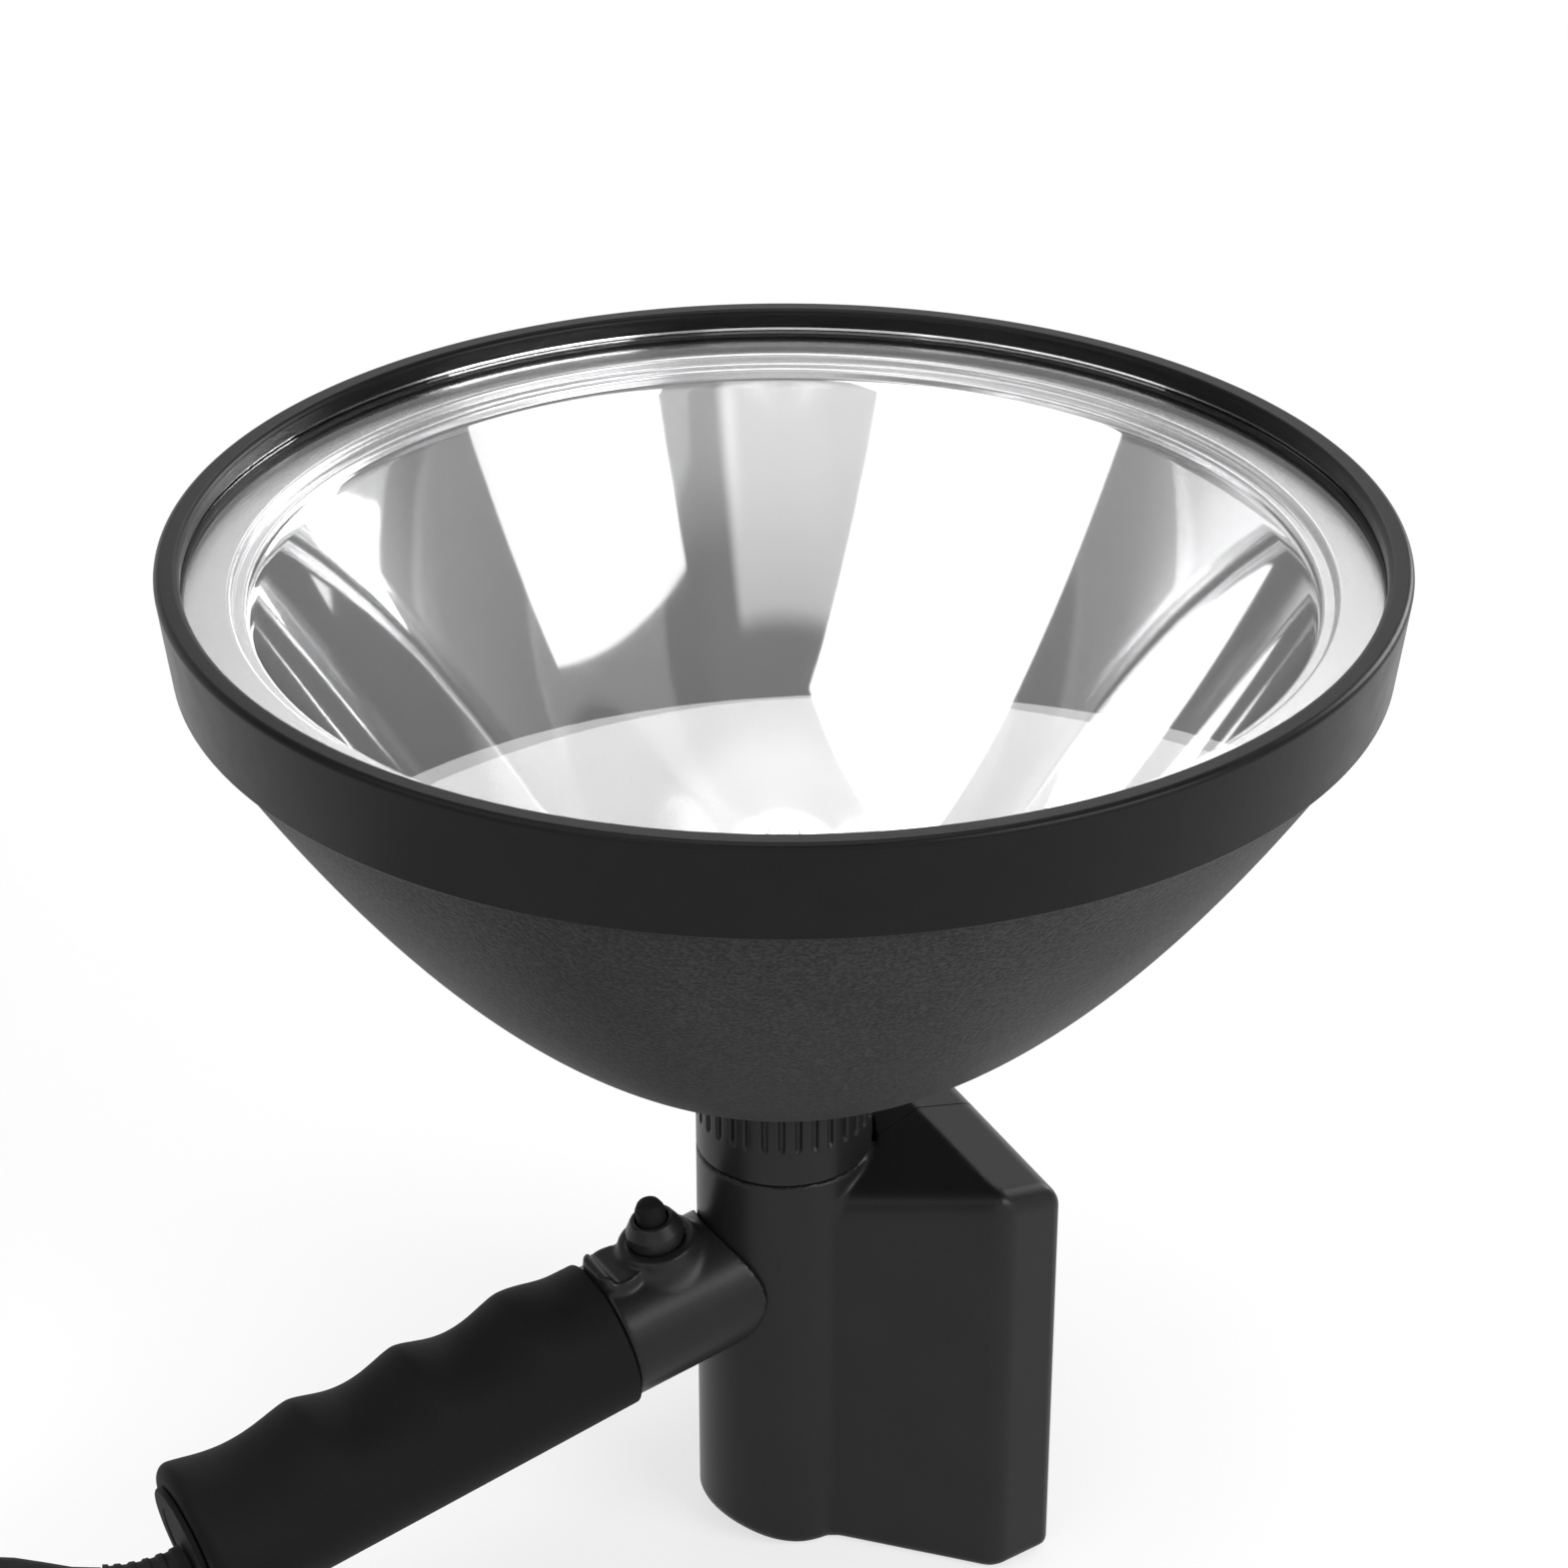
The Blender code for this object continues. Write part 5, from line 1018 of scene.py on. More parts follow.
class SEARCHLIGHT_OT_head(bpy.types.Operator):
    """Add the bowl, the front ring, the glass, its seal and the mirror"""

    bl_idname = "searchlight.head"
    bl_label = "Head"

    def execute(self, context):
        segments = context.scene.searchlight_sizes.segments
        self.bowl(segments)
        self.mirror(segments)
        rim = [
            (BEZEL_BORE, BEZEL_FOOT, 0.0003), (BEZEL_FOOT_RADIUS, BEZEL_FOOT, 0.0006),
            (RIM_RADIUS, RIM_Z, 0.0013), (LIP_RADIUS, RIM_Z, 0.0014), (LIP_RADIUS, LIP_FOOT, 0.0004),
            (BEZEL_BORE, LIP_FOOT, 0),
        ]
        turned("front_ring", rim, "bezel", "head", "bezel_ring", segments=segments, steps=8)
        glass = [
            (0, LENS_FOOT, 0), (LENS_RING, LENS_FOOT, 0), (LENS_RADIUS, LENS_FOOT, 0.0004),
            (LENS_RADIUS, LENS_TOP, 0.0004), (LENS_RING, LENS_TOP, 0), (0, LENS_TOP, 0),
        ]
        turned("front_glass", glass, "lens", "head", "front_lens", segments=segments, closed=False, steps=4)
        seal = rectangle((SEAL_BORE, SEAL_FOOT), (LENS_RADIUS, SEAL_TOP), SEAL_ROUND)
        piece("glass_seal", spun(seal, segments), "cord", "head", "lens_gasket")
        return {"FINISHED"}

    def bowl(self, segments):
        """A paraboloid from the collar to the front ring, with its wall measured square to that curve."""
        outer, normal = paraboloid(TUBE_RADIUS, BOWL_RADIUS, BOWL_FOOT, BEZEL_FOOT, 90)
        inner = (outer - BOWL_WALL * normal)[::-1]
        inner = inner[inner[:, 1] < BEZEL_FOOT]
        foot = [(BOWL_BORE, BOWL_FOOT), (TUBE_RADIUS - 0.0004, BOWL_FOOT)]
        rim = [(BOWL_RADIUS, BOWL_TOP), (BOWL_RIM_BORE, BOWL_TOP), (BOWL_RIM_BORE, BEZEL_FOOT)]
        profile = np.concatenate([foot, outer[1:], rim, inner, [(BOWL_BORE, inner[-1][1])]])
        piece("bowl", spun(profile, segments), "grained", "head", "head_housing")

    def mirror(self, segments):
        """The mirror: a paraboloid, a rounded mouth, a stepped ring and a flange, with its wall behind."""
        inner, normal = paraboloid(MIRROR_HOLE, MIRROR_MOUTH, MIRROR_HOLE_Z, MIRROR_MOUTH_Z, 120)
        outer = (inner + MIRROR_WALL * normal)[::-1]
        outer[-1] = (MIRROR_HOLE, MIRROR_HOLE_Z - MIRROR_WALL)
        lip, back = MIRROR_MOUTH + MIRROR_LIP, STEP_Z - MIRROR_WALL
        edge = filleted([
            (*inner[-1], 0), (lip, MIRROR_MOUTH_Z + MIRROR_LIP, 0.0004), (lip, STEP_Z, 0.0009),
            (STEP_RADIUS, STEP_Z, 0.0007), (STEP_RADIUS, FLANGE_TOP, 0.0009),
            (FLANGE_RADIUS, FLANGE_TOP, 0.0002), (FLANGE_RADIUS, FLANGE_FOOT, 0.0002),
            (STEP_RADIUS + MIRROR_WALL, FLANGE_FOOT, 0.0002), (STEP_RADIUS + MIRROR_WALL, back, 0.0004),
            (lip + MIRROR_WALL, back, 0.0004), (*outer[0], 0),
        ], closed=False, steps=6)
        profile = np.concatenate([inner[:-1], edge, outer[1:]])
        piece("mirror", spun(profile, segments), "mirror", "head", "reflector")


class SEARCHLIGHT_OT_collar(bpy.types.Operator):
    """Add the ribbed focus collar"""

    bl_idname = "searchlight.collar"
    bl_label = "Focus collar"

    def execute(self, context):
        """Each groove takes the radius in by its depth, with soft sides, between two heights."""
        sizes = context.scene.searchlight_sizes
        wall = [(TUBE_RADIUS, z, 0) for z in np.linspace(*COLLAR_WALL, 56)]
        profile = filleted([
            (COLLAR_BORE, COLLAR_FOOT, 0.0002), (TUBE_RADIUS, COLLAR_FOOT, 0.0005), *wall,
            (TUBE_RADIUS, COLLAR_TOP, 0.0004), (COLLAR_STEM_RADIUS, COLLAR_TOP, 0.0001),
            (COLLAR_STEM_RADIUS, COLLAR_STEM_TOP, 0.0003), (COLLAR_BORE, COLLAR_STEM_TOP, 0.0002),
        ], steps=4)
        angle = circle(14 * sizes.ribs)
        radius, height = profile[:, 0:1], profile[:, 1:2]
        share = np.abs((angle * sizes.ribs / (2 * math.pi) + 0.25) % 1 - 0.5)
        across = share * 2 * math.pi * TUBE_RADIUS / sizes.ribs
        groove = soft_step(1 - (across - GROOVE_HALF_WIDTH) / GROOVE_SIDE)[None, :]
        low, high = COLLAR_GROOVES
        band = np.clip((height - low) / GROOVE_END, 0, 1) * np.clip((high - height) / GROOVE_END, 0, 1)
        on_wall = radius > TUBE_RADIUS - 0.0001
        grown = radius - sizes.groove_depth * groove * soft_step(band) * on_wall
        points = round_points(grown, angle, height)
        shape = (points, grid_quads(len(profile), len(angle), wrap_rows=True))
        piece("ribbed_collar", shape, "satin", "head", "focus_collar", sharp=50)
        return {"FINISHED"}


class SEARCHLIGHT_OT_lamp(bpy.types.Operator):
    """Add the lamp: carrier, ceramic base and capsule"""

    bl_idname = "searchlight.lamp"
    bl_label = "Lamp"

    def execute(self, context):
        foot, top = (corner[2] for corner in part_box("lamp_base"))
        plate, pit = foot + 0.0016, top - 0.0006
        base = [
            (0, foot, 0), (0.009, foot, 0.0004), (0.009, plate, 0.0004), (0.0070, plate, 0.0003),
            (0.0068, top, 0.0008), (0.0036, top, 0.0003), (0.0034, pit, 0), (0, pit, 0),
        ]
        turned("ceramic_base", base, "ceramic", "lamp", "lamp_base", closed=False)
        self.capsule()
        self.carrier()
        return {"FINISHED"}

    def capsule(self):
        """A glass tube with a pinched foot and a round tip; in it the arc tube, two wires and a return rod."""
        foot, tip = (corner[2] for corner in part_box("lamp_capsule"))
        pinch, radius, dome_height = 0.0030, 0.0042, 0.0050
        outline = filleted([
            (0, foot, 0), (pinch, foot, 0.0003), (pinch, foot + 0.003, 0.001),
            (radius, foot + 0.0052, 0.001), (radius, tip - dome_height, 0),
        ], closed=False)
        t = np.linspace(0, math.pi / 2, 14)
        dome = np.stack([radius * np.cos(t), tip - dome_height + dome_height * np.sin(t)], 1)
        shell = spun(np.concatenate([outline[:-1], dome]), 64, closed=False)
        piece("lamp_glass", shell, "quartz", "lamp", "lamp_capsule")
        wire, swell, half, middle = 0.0010, 0.0015, 0.0045, (foot + tip) / 2 + 0.0035
        t = np.linspace(-math.pi / 2, math.pi / 2, 24)
        bulge = np.stack([wire + swell * np.cos(t) ** 2, middle + half * np.sin(t)], 1)
        low, high = foot + 0.0012, tip - 0.0018
        arc = np.concatenate([[(0, low), (wire, low)], bulge, [(wire, high), (0, high)]])
        thin, low, high = 0.00045, foot + 0.0047, tip - 0.0022
        rod, faces = spun([(0, low), (thin, low), (thin, high), (0, high)], 16, closed=False)
        shape = together(spun(arc, 48, closed=False), (rod + [0.0031, 0, 0], faces))
        piece("arc_tube", shape, "ceramic", "lamp")

    def carrier(self):
        """The sliding carrier: a drum with a stem up to the lamp's base and two lugs in the slots."""
        foot, top = (corner[2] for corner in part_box("lamp_carrier"))
        bore, radius, stem, drum = 0.0035, 0.0116, 0.008, foot + 0.016
        outline = filleted([
            (bore, foot, 0.0003), (radius, foot, 0.0006), (radius, drum, 0.0006), (stem, drum, 0.0008),
            (stem, top, 0.0005), (bore, top, 0.0003),
        ])
        parts = [spun(outline, SEGMENTS)]
        section = rectangle((-0.002, -0.003), (0.002, 0.003), 0.0005, steps=4)
        scale = np.array([1, 1, 0.85])[:, None]
        for side in (-1, 1):
            reach = side * np.array([0.0100, 0.0133, 0.0136])[:, None]
            height = (foot + drum) / 2 + scale * section[:, 1]
            parts.append(tube(np.stack(np.broadcast_arrays(reach, scale * section[:, 0], height), -1)))
        piece("lamp_slide_carrier", together(*parts), "satin", "lamp", "lamp_carrier")


def box_sides(x, y, wall=0.0):
    """Distances to the ballast box's upright walls, from its plan."""
    corners = [
        (0, -BOX_WAIST_HALF_WIDTH), (BOX_SHOULDER, -BOX_HALF_WIDTH), (BOX_END, -BOX_END_HALF_WIDTH),
        (BOX_END, BOX_END_HALF_WIDTH), (BOX_SHOULDER, BOX_HALF_WIDTH), (0, BOX_WAIST_HALF_WIDTH),
    ]
    out = []
    for (x0, y0), (x1, y1) in zip(corners, corners[1:] + corners[:1]):
        along = math.hypot(x1 - x0, y1 - y0)
        out.append(((x - x0) * (y1 - y0) - (y - y0) * (x1 - x0)) / along + wall)
    return out


def roof(x, y, z):
    """Distance to the box's top, which falls from its ridge towards the tube, the end and both sides."""
    near = BOX_RIDGE - (BOX_SHOULDER - x) * ROOF_SLOPE
    end = BOX_RIDGE - (x - BOX_SHOULDER) * (BOX_RIDGE - BOX_END_HEIGHT) / (BOX_END - BOX_SHOULDER)
    top = np.minimum(near, end) - np.sqrt(y * y + ROOF_CROWN_ROUND**2) * ROOF_CROWN
    return (z - top) * math.cos(math.atan(ROOF_SLOPE))


def box_block(x, y, z):
    """The ballast box with rounded upright and top edges, still open-ended downwards."""
    upright = rounded(*box_sides(x, y), radius=BOX_SIDE_ROUND)
    return rounded(upright, roof(x, y, z), radius=BOX_ROOF_ROUND)


def box_inside(x, y, z):
    """The box's hollow, one wall further in and outside the tube and the recess wall."""
    round_tube = np.hypot(x, y)
    recess = np.maximum(round_tube - RECESS_RADIUS - BOX_WALL, TUBE_TOP - BOX_WALL - z)
    sides = box_sides(x, y, BOX_WALL)
    hollow = rounded(*sides, roof(x, y, z) + BOX_WALL, BOX_FLOOR - z, radius=BOX_INSIDE_ROUND)
    return np.maximum.reduce([hollow, TUBE_RADIUS + FIT - round_tube, -recess])


def tube_block(x, y, z):
    """The tube up to its rounded rim."""
    return rounded(np.hypot(x, y) - TUBE_RADIUS, z - TUBE_TOP, radius=TUBE_RIM_ROUND)


def footed(block, x, z):
    """A block cut off by the flat foot, which slants up on the handle's side."""
    slant = -(x + FOOT_SLANT_START) * math.sin(FOOT_SLANT) - z * math.cos(FOOT_SLANT)
    return rounded(block, -z, slant, radius=FOOT_ROUND)


def collar_recess(x, y, z):
    """The round recess in the box's top, in which the collar turns."""
    return np.maximum(np.hypot(x, y) - RECESS_RADIUS, TUBE_TOP - z)


class SEARCHLIGHT_OT_body(bpy.types.Operator):
    """Add the moulded body, the ballast box's cover and its screws"""

    bl_idname = "searchlight.body"
    bl_label = "Body and ballast box"

    def execute(self, context):
        """The near part blends box and tube, the far part is the box beyond the seam; both are hollow."""
        cell = 0.0008

        def outside(x, y, z):
            joined = blended(tube_block(x, y, z), box_block(x, y, z), VALLEY_ROUND)
            return rounded(footed(joined, x, z), -collar_recess(x, y, z), radius=RECESS_ROUND)

        def near_seam(x, y, z):
            return y - (SEAM - FIT / 2)

        def body(x, y, z):
            shell = np.maximum.reduce([outside(x, y, z), near_seam(x, y, z), -box_inside(x, y, z)])
            filled = np.minimum(footed(tube_block(x, y, z), x, z), shell)
            bore = np.maximum(np.hypot(x, y) - TUBE_BORE, TUBE_FLOOR - z)
            return np.maximum(filled, -bore)

        def far_seam(x, y, z):
            return SEAM + FIT / 2 - y

        def cover_outside(x, y, z):
            free = np.maximum(TUBE_RADIUS + FIT - np.hypot(x, y), -collar_recess(x, y, z))
            return rounded(rounded(box_block(x, y, z), -z, radius=FOOT_ROUND), free, radius=SEAM_ROUND)

        def cover(x, y, z):
            skin = cover_outside(x, y, z)
            shell = np.maximum(skin, -box_inside(x, y, z))
            for height in SCREW_HEIGHTS:
                away = np.hypot(x - SCREW_X, z - height)
                shell = np.minimum(shell, np.maximum(away - SCREW_POST_RADIUS, skin))
                well = away - np.where(y > SEAM + BOX_WALL, SCREW_WELL_RADIUS, SCREW_HOLE_RADIUS)
                shell = np.maximum(shell, -well)
            return np.maximum(shell, far_seam(x, y, z))

        space = ((-0.0215, -0.0488, -0.0022), (0.0446, 0.0196, 0.1012))
        shape = level_surface(body, space, cell, [(outside, near_seam)])
        piece("body_moulding", shape, "satin", "body", "body_shell", even=False)
        space = ((-0.0022, -0.0128, -0.0022), (0.0446, 0.0478, 0.1012))
        shape = level_surface(cover, space, cell, [(cover_outside, far_seam)])
        piece("box_cover", shape, "satin", "body", "ballast_cover", even=False)
        for number in (1, 2):
            self.screw(f"cover_screw_{number}")
        return {"FINISHED"}

    def screw(self, node):
        """A screw with a socket in its head, whose radius swells six times round its centre."""
        low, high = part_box(node)
        seat = high[1] - SCREW_HEAD_HEIGHT
        end = low[1] - seat
        outer = filleted([
            (0, end, 0), (SCREW_SHANK_RADIUS, end + SCREW_SHANK_RADIUS, 0.0002),
            (SCREW_SHANK_RADIUS, 0, 0.0002), (SCREW_HEAD_RADIUS, 0, 0.0002),
            (SCREW_HEAD_RADIUS, SCREW_HEAD_HEIGHT, 0.0007), (SOCKET_MOUTH_RADIUS, SCREW_HEAD_HEIGHT, 0),
        ], closed=False, steps=4)
        socket = [(SOCKET_RADIUS, SCREW_HEAD_HEIGHT), (SOCKET_RADIUS, SOCKET_FLOOR), (0, SOCKET_FLOOR)]
        profile = np.concatenate([outer, socket])
        angle = circle(48)
        lobes = 1 + SOCKET_LOBE_SHARE * np.cos(6 * angle)[None, :]
        in_socket = np.arange(len(profile))[:, None] >= len(outer)
        points = round_points(profile[:, 0:1] * np.where(in_socket, lobes, 1), angle, profile[:, 1:2])
        middle = Vector((SCREW_X, seat, (low[2] + high[2]) / 2))
        place = Matrix.Translation(middle) @ Matrix.Rotation(-math.pi / 2, 4, "X")
        shape = (points, grid_quads(len(profile), len(angle)))
        piece(f"made_{node}", shape, "steel", "body", node, place=place)


class SEARCHLIGHT_OT_inner(bpy.types.Operator):
    """Finish the pieces inside the body, which keep their shape"""

    bl_idname = "searchlight.inner"
    bl_label = "Inner pieces"

    def execute(self, context):
        chosen = {
            "ballast_module": "cast", "head_spigot": "cast", "head_nut": "steel",
            "handle_nipple": "steel", "nipple_nut": "steel",
        }
        for name, look in chosen.items():
            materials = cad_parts[name].data.materials
            materials.clear()
            materials.append(finish(look))
        return {"FINISHED"}


class SEARCHLIGHT_OT_neck(bpy.types.Operator):
    """Add the handle's neck with the switch boss"""

    bl_idname = "searchlight.neck"
    bl_label = "Handle neck"

    def execute(self, context):
        """In the handle's frame a barrel, a boss and a tab blend softly; saddle, pocket and bore are cut."""
        cell = 0.0006
        turn = np.array(HANDLE_PLACE.to_3x3())
        root = np.array(HANDLE_PLACE.translation)

        def outside(x, y, z):
            round_axis = np.hypot(x, y)
            round_tab = np.hypot(y, z - TAB_POSITION) - TAB_RADIUS
            end = z - NECK_END
            barrel = rounded(round_axis - NECK_RADIUS, end, radius=NECK_ROUND)
            boss = rounded(np.hypot(y, z - SWITCH_POSITION) - BOSS_RADIUS, x - BOSS_HEIGHT, -x, radius=0.0008)
            tab = rounded(round_tab, x - TAB_HEIGHT, end, -x, radius=0.0006)
            rib = rounded(round_tab, x - TAB_RIB_HEIGHT, end, -TAB_RIB_LENGTH - end, -x, radius=0.0010)
            whole = blended(blended(barrel, boss, 0.0022), tab, 0.0010)
            whole = blended(whole, rib, 0.0012)
            core = np.maximum.reduce([round_axis - CORE_RADIUS, z - (GRIP_END - CAP_DEPTH), CORE_START - z])
            return np.minimum(whole, core)

        def saddle(x, y, z):
            world = [turn[i, 0] * x + turn[i, 1] * y + turn[i, 2] * z + root[i] for i in (0, 1)]
            return TUBE_RADIUS + FIT - np.hypot(*world)

        def neck(x, y, z):
            round_switch = np.hypot(y, z - SWITCH_POSITION)
            pocket = np.maximum(round_switch - POCKET_RADIUS, BOSS_HEIGHT - POCKET_DEPTH - x)
            bore = np.hypot(x, y) - np.where(z < SWITCH_POSITION - FIT, NIPPLE_BORE, WIRE_BORE)
            seated = rounded(outside(x, y, z), saddle(x, y, z), radius=SADDLE_ROUND)
            return np.maximum.reduce([seated, -pocket, -bore])

        space = ((-0.0162, -0.0162, 0.010), (0.0196, 0.0162, 0.1356))
        shape = level_surface(neck, space, cell)
        piece("neck", shape, "satin", "body", "handle_neck", place=HANDLE_PLACE, even=False)
        return {"FINISHED"}


class SEARCHLIGHT_OT_grip(bpy.types.Operator):
    """Add the grooved grip, the butt cap and the strain relief"""

    bl_idname = "searchlight.grip"
    bl_label = "Grip"

    def execute(self, context):
        """The grip's rings lie closer where its ends are rounded; two more close it round the core."""
        mouth = MOUTH_ROUND * (1 - np.cos(np.linspace(0, math.pi / 2, 6)[:-1]))
        middle = np.linspace(MOUTH_ROUND, GRIP_LENGTH - BUTT_ROUND, 150)
        butt = GRIP_LENGTH - BUTT_ROUND + BUTT_ROUND * np.sin(np.linspace(0, math.pi / 2, 14)[1:])
        z = np.concatenate([mouth, middle, butt])
        angle = circle(112)
        radius = self.radius(z, angle, context.scene.searchlight_sizes.finger_depth)
        outer = round_points(radius, angle, GRIP_START + z[:, None])
        inner = round_points(CORE_RADIUS + FIT, angle, np.array([[GRIP_END], [GRIP_START]]))
        points = np.concatenate([outer, inner])
        shape = (points, grid_quads(len(points), len(angle), wrap_rows=True))
        piece("grip", shape, "grip", "body", "handle_grip", place=HANDLE_PLACE, sharp=50)
        self.cap()
        self.sleeve()
        return {"FINISHED"}

    def radius(self, z, angle, depth):
        """Ridges stand on the beam side, and between two the radius dips as a sine to the power 1.5."""
        share = z / GRIP_LENGTH
        plain = GRIP_RADIUS + GRIP_GROWTH * share
        ridge = RIDGE_RADIUS - RIDGE_FALL * share
        places = np.array([*(FIRST_RIDGE + FINGER_PITCH * np.arange(3)), LAST_RIDGE])
        lead = np.clip((z - RIDGE_LEAD) / (places[0] - RIDGE_LEAD), 0, 1)
        top = GRIP_RADIUS + (ridge - GRIP_RADIUS) * (1 - np.cos(math.pi * lead)) / 2
        k = np.clip(np.searchsorted(places, z, side="right") - 1, 0, 2)
        phase = np.clip((z - places[k]) / (places[k + 1] - places[k]), 0, 1)
        dip = depth * np.sin(math.pi * phase) ** 1.5
        top = np.where(z < places[0], top, ridge - dip)
        facing = np.maximum(0, np.cos(angle))[None, :] ** 1.5
        radius = plain[:, None] + facing * (top - plain)[:, None]
        rounding = self.rounding(GRIP_LENGTH - z, BUTT_ROUND) + self.rounding(z, MOUTH_ROUND)
        return radius - rounding[:, None]

    def rounding(self, to_end, radius):
        """How far a rounded end takes the surface in: a quarter circle of its radius."""
        return radius - np.sqrt(np.maximum(radius**2 - np.maximum(radius - to_end, 0) ** 2, 0))

    def cap(self):
        """The cap in the grip's end."""
        foot, face = GRIP_END - CAP_DEPTH + FIT, GRIP_END + FIT
        lip, hollow = face + CAP_LIP, face + CAP_LIP - CAP_HOLLOW
        outline = [
            (0, foot, 0), (CORE_RADIUS, foot, 0.0004), (CORE_RADIUS, face, 0), (CAP_RADIUS, face, 0.0001),
            (CAP_RADIUS, lip, 0.0007), (CAP_LIP_BORE, lip, 0.0002), (CAP_LIP_BORE - 0.0004, hollow, 0.0002),
            (0, hollow, 0),
        ]
        turned(
            "end_cap", outline, "grip", "body", "butt_cap", closed=False, place=HANDLE_PLACE,
            slot="satin_black_plastic",
        )

    def sleeve(self):
        """A bent sleeve whose radius falls to its tip, with rings cut where a cosine wave is high."""
        line, _ = sleeve_line(90)
        share = np.linspace(0, 1, len(line))
        wave = np.clip(np.cos(share * 2 * math.pi * SLEEVE_RINGS) * 3, -1, 1)
        ringed = (share > 0.12) & (share < 0.93)
        radius = SLEEVE_RADIUS - SLEEVE_TAPER * share - SLEEVE_RING_DEPTH * (1 + wave) / 2 * ringed
        angle = circle(40)
        shape = carried(line, np.stack([np.cos(angle), np.sin(angle)], 1), radius)
        piece("cord_sleeve", shape, "cord", "body", "strain_relief", sharp=50)


class SEARCHLIGHT_OT_switch(bpy.types.Operator):
    """Add the push switch: body, ring and rubber boot"""

    bl_idname = "searchlight.switch"
    bl_label = "Push switch"

    def execute(self, context):
        """The barrel sits in the boss, the ring stands on the boss, and the boot runs in both."""
        top, foot = BOSS_HEIGHT, BOSS_HEIGHT + FIT
        low, floor = top - BARREL_LENGTH, top - BARREL_BORE_DEPTH
        barrel = [
            (0, low, 0), (BARREL_RADIUS, low, 0.0003), (BARREL_RADIUS, top, 0.0003),
            (BARREL_BORE, top, 0.0001), (BARREL_BORE, floor, 0), (0, floor, 0),
        ]
        turned(
            "switch_barrel", barrel, "grip", "body", "switch_body", segments=64, closed=False, steps=4,
            place=SWITCH_PLACE, slot="satin_black_plastic",
        )
        wall, rim = foot + RING_WALL_HEIGHT, foot + RING_HEIGHT
        ring = [
            (RING_BORE, foot, 0.0001), (RING_RADIUS, foot, 0.0003), (RING_RADIUS, wall, 0.0007),
            (RING_TOP_RADIUS, rim, 0.0009), (RING_BORE, rim, 0.0003),
        ]
        turned("switch_collar", ring, "satin", "body", "switch_ring", steps=6, place=SWITCH_PLACE)
        start = foot + BOOT_START
        end, crown = start - BOOT_STEM_LENGTH, start + BOOT_HEIGHT
        boot = [
            (0, end, 0), (BOOT_STEM_RADIUS, end, 0.0002), (BOOT_STEM_RADIUS, start, 0.0002),
            (BOOT_RADIUS, start, 0.0003), (BOOT_RADIUS, start + BOOT_WALL_HEIGHT, 0.0012),
            (0.0024, crown - 0.0006, 0.0008), (0.0013, crown, 0.001), (0, crown, 0),
        ]
        turned(
            "switch_cap", boot, "grip", "switch", "switch_boot", segments=64, closed=False, steps=6,
            place=SWITCH_PLACE,
        )
        return {"FINISHED"}


# Studio

FOCUS = Vector((0, 0, 0.16))
CAMERA_PLACE = (-0.3625, -0.6460, 0.5835)
CAMERA_TILT = 28.6
CAMERA_PAN = -29.3
CAMERA_LENS = 96.07
FLOOR_HALF = 6.0
FLOOR_DROP = 0.0002

# Name, azimuth and elevation and roll in degrees, distance, size, radiance and form
SOFTBOXES = (
    ("front_strip", 58.5, 35.4, 0, 2.0, (0.85, 0.385), 3.3, "ELLIPSE"),
    ("right_softbox", -66, 21, -9, 1.7, (1.3, 1.3), 1.3, "RECTANGLE"),
    ("high_softbox", -66, 32, -9, 1.64, (1.05, 0.42), 9.0, "RECTANGLE"),
    ("back_softbox", 12, 20, 0, 1.8, (0.9, 0.7), 9.0, "RECTANGLE"),
    ("left_softbox", -175, 43, 0, 1.8, (1.75, 1.25), 1.7, "RECTANGLE"),
)


def direction(azimuth, elevation):
    """The unit vector of an azimuth and an elevation in degrees."""
    a, e = math.radians(azimuth), math.radians(elevation)
    return math.cos(a) * math.cos(e), math.sin(a) * math.cos(e), math.sin(e)


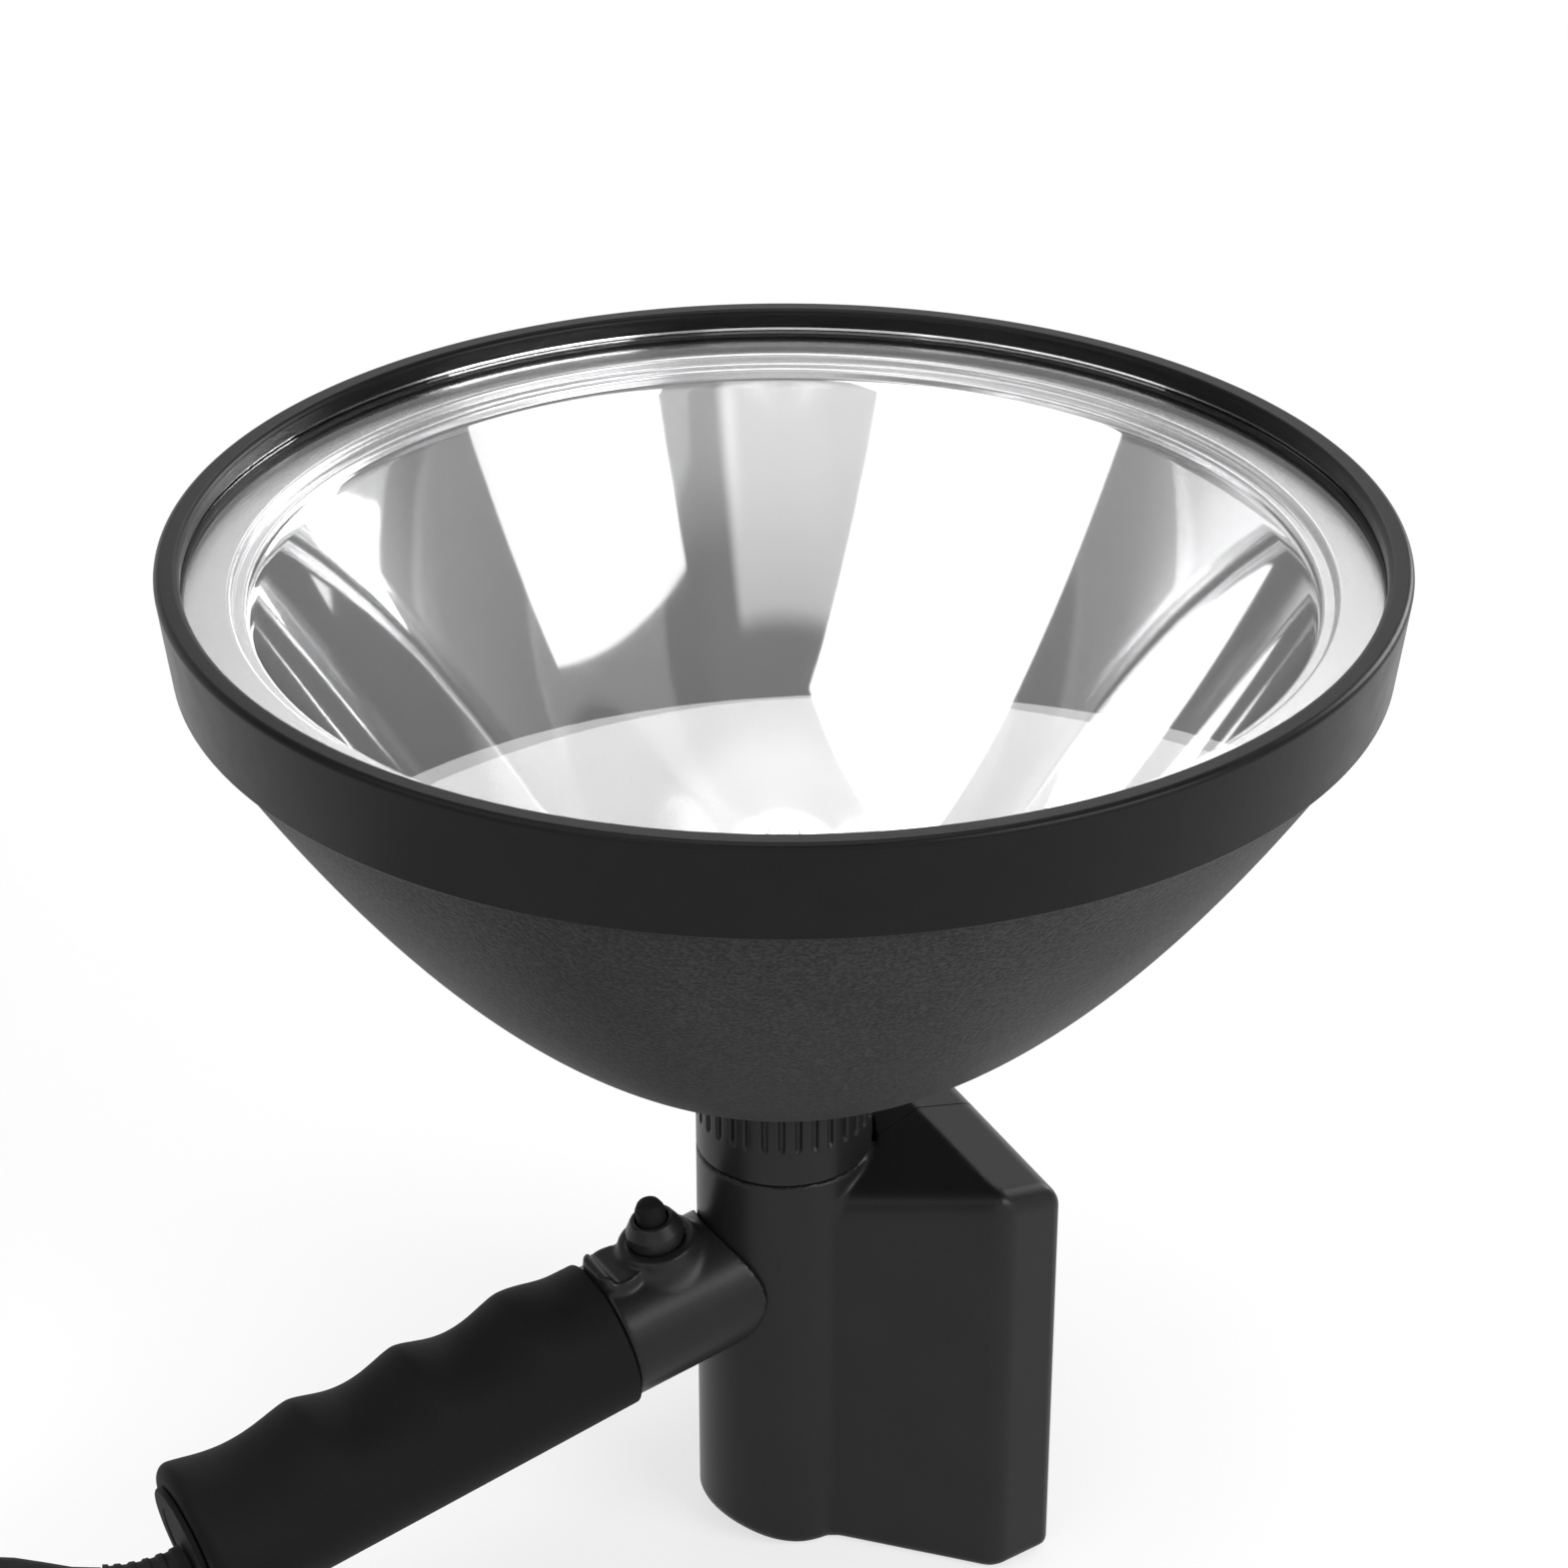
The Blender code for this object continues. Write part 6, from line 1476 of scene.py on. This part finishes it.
class SEARCHLIGHT_OT_stage(bpy.types.Operator):
    """Add the floor, the studio light and the camera"""

    bl_idname = "searchlight.stage"
    bl_label = "Studio and camera"

    def execute(self, context):
        scene = context.scene
        scene.view_settings.view_transform = "Standard"
        data = bpy.data.cameras.new("photo_camera")
        data.sensor_width = 36
        data.lens = CAMERA_LENS
        data.clip_start, data.clip_end = 0.05, 50
        camera = added("photo_camera", data)
        camera.location = CAMERA_PLACE
        camera.rotation_euler = (math.radians(90 - CAMERA_TILT), 0, math.radians(CAMERA_PAN))
        scene.camera = camera
        self.floor()
        self.room(scene)
        for values in SOFTBOXES:
            self.softbox(*values)
        return {"FINISHED"}

    def softbox(self, name, azimuth, elevation, roll, distance, size, radiance, form):
        """A soft panel that faces the light from a direction; its power gives it one even radiance."""
        way = Vector(direction(azimuth, elevation))
        data = bpy.data.lights.new(name, "AREA")
        data.shape = form
        data.size, data.size_y = size
        area = size[0] * size[1] * (math.pi / 4 if form == "ELLIPSE" else 1)
        data.energy = radiance * math.pi * area
        obj = added(name, data)
        obj.location = FOCUS + way * distance
        obj.rotation_mode = "QUATERNION"
        obj.rotation_quaternion = way.to_track_quat("Z", "Y") @ Quaternion((0, 0, 1), math.radians(roll))
        obj.visible_camera = False

    def floor(self):
        """A plain pale floor, whitened for camera, mirrors and glass so far that the shadow still shows."""
        corners = [(x * FLOOR_HALF, y * FLOOR_HALF, 0) for x, y in ((-1, -1), (1, -1), (1, 1), (-1, 1))]
        mesh = bpy.data.meshes.new("floor")
        mesh.from_pydata(corners, [], [(0, 1, 2, 3)])
        f = new_finish("pale_floor")
        cloud = f.noise(0.8, 2)
        f.done(Base_Color=f.between(cloud, (0.86, 0.86, 0.86, 1), (0.88, 0.88, 0.88, 1)), Roughness=0.8)
        reach = f.slide(f.vector("LENGTH", f.place(), output="Value"), 0.25, 1.2, 0.68, 1.0)
        largest = {"operation": "MAXIMUM"}
        sight = f.node("ShaderNodeMath", largest, {0: f.rays("Glossy"), 1: f.rays("Transmission")})
        seen = f.node("ShaderNodeMath", largest, {0: f.rays("Camera"), 1: sight})
        white = f.node("ShaderNodeEmission", None, {"Color": (1, 1, 1, 1), "Strength": 1.0})
        mesh.materials.append(f.mixed(seen * reach, white))
        obj = added("floor", mesh)
        obj.location.z = -FLOOR_DROP

    def room(self, scene):
        """The world: white to the camera, and to all else a dim room that changes with direction.

        It has a pale band low down, a pale wall on one side, a hazy stretch opposite it with a fainter one
        beside that, and a ceiling that is bright only straight overhead. Heights are sines of the elevation.
        """
        world = bpy.data.worlds.new("studio")
        scene.world = world
        f = Finish(world)
        way = f.node("ShaderNodeTexCoord", output="Generated")
        height = f.node("ShaderNodeSeparateXYZ", None, {0: way}, "Z")
        flat = f.vector("NORMALIZE", f.vector("MULTIPLY", way, (1, 1, 0)))

        def towards(azimuth, near, far):
            across = f.vector("DOT_PRODUCT", flat, direction(azimuth, 0), output="Value")
            return f.slide(across, math.cos(math.radians(far)), math.cos(math.radians(near)))

        low_band = 1 - f.slide(height, 0.20, 0.36)
        wall = towards(70, 42, 68) * (0.34 + 0.38 * (1 - f.slide(height, 0.45, 0.56)))
        haze_fall = 1 - f.slide(height, 0.50, 0.80) * 0.6
        haze = towards(-127, 21, 25) * haze_fall * (1 - f.slide(height, 0.70, 0.735))
        gap = towards(-96, 9, 13) * (1 - f.slide(height, 0.56, 0.66))
        ceiling = f.slide(height, 0.80, 0.88) * 0.25 + f.slide(height, 0.93, 0.97) * 3.0
        level = 0.03 + low_band * 0.5 + wall + haze * 0.88 + gap * 0.3 + ceiling
        camera = f.rays("Camera")
        back = f.tree.nodes["Background"]
        connect(f.tree, back.inputs["Strength"], camera + (1 - camera) * level)
        back.inputs["Color"].default_value = (1, 1, 1, 1)


# Panel and running

# The steps in their order: the cord comes after the pieces that it carries
STEPS = ("stage", "tie", "plug", "cord", "head", "collar", "lamp", "body", "inner", "neck", "grip", "switch")


class SEARCHLIGHT_PT_panel(bpy.types.Panel):
    """Sizes, colours and one button for each group of pieces"""

    bl_idname = "SEARCHLIGHT_PT_panel"
    bl_label = "Searchlight"
    bl_space_type = "VIEW_3D"
    bl_region_type = "UI"
    bl_category = "Searchlight"

    def draw(self, context):
        for group in (context.scene.searchlight_sizes, context.scene.searchlight_colours):
            box = self.layout.box()
            for name in group.__annotations__:
                box.prop(group, name)
        for name in STEPS:
            self.layout.operator(f"searchlight.{name}")


CLASSES = (
    SearchlightSizes, SearchlightColours, SEARCHLIGHT_OT_cord, SEARCHLIGHT_OT_tie, SEARCHLIGHT_OT_plug,
    SEARCHLIGHT_OT_head, SEARCHLIGHT_OT_collar, SEARCHLIGHT_OT_lamp, SEARCHLIGHT_OT_body,
    SEARCHLIGHT_OT_inner, SEARCHLIGHT_OT_neck, SEARCHLIGHT_OT_grip, SEARCHLIGHT_OT_switch,
    SEARCHLIGHT_OT_stage, SEARCHLIGHT_PT_panel,
)


def register():
    for item in CLASSES:
        bpy.utils.register_class(item)
    bpy.types.Scene.searchlight_sizes = PointerProperty(type=SearchlightSizes)
    bpy.types.Scene.searchlight_colours = PointerProperty(type=SearchlightColours)


def unregister():
    del bpy.types.Scene.searchlight_colours
    del bpy.types.Scene.searchlight_sizes
    for item in reversed(CLASSES):
        bpy.utils.unregister_class(item)


def main():
    """Make everything in order."""
    register()
    for name in STEPS:
        getattr(bpy.ops.searchlight, name)()


if __name__ == "__main__":
    main()
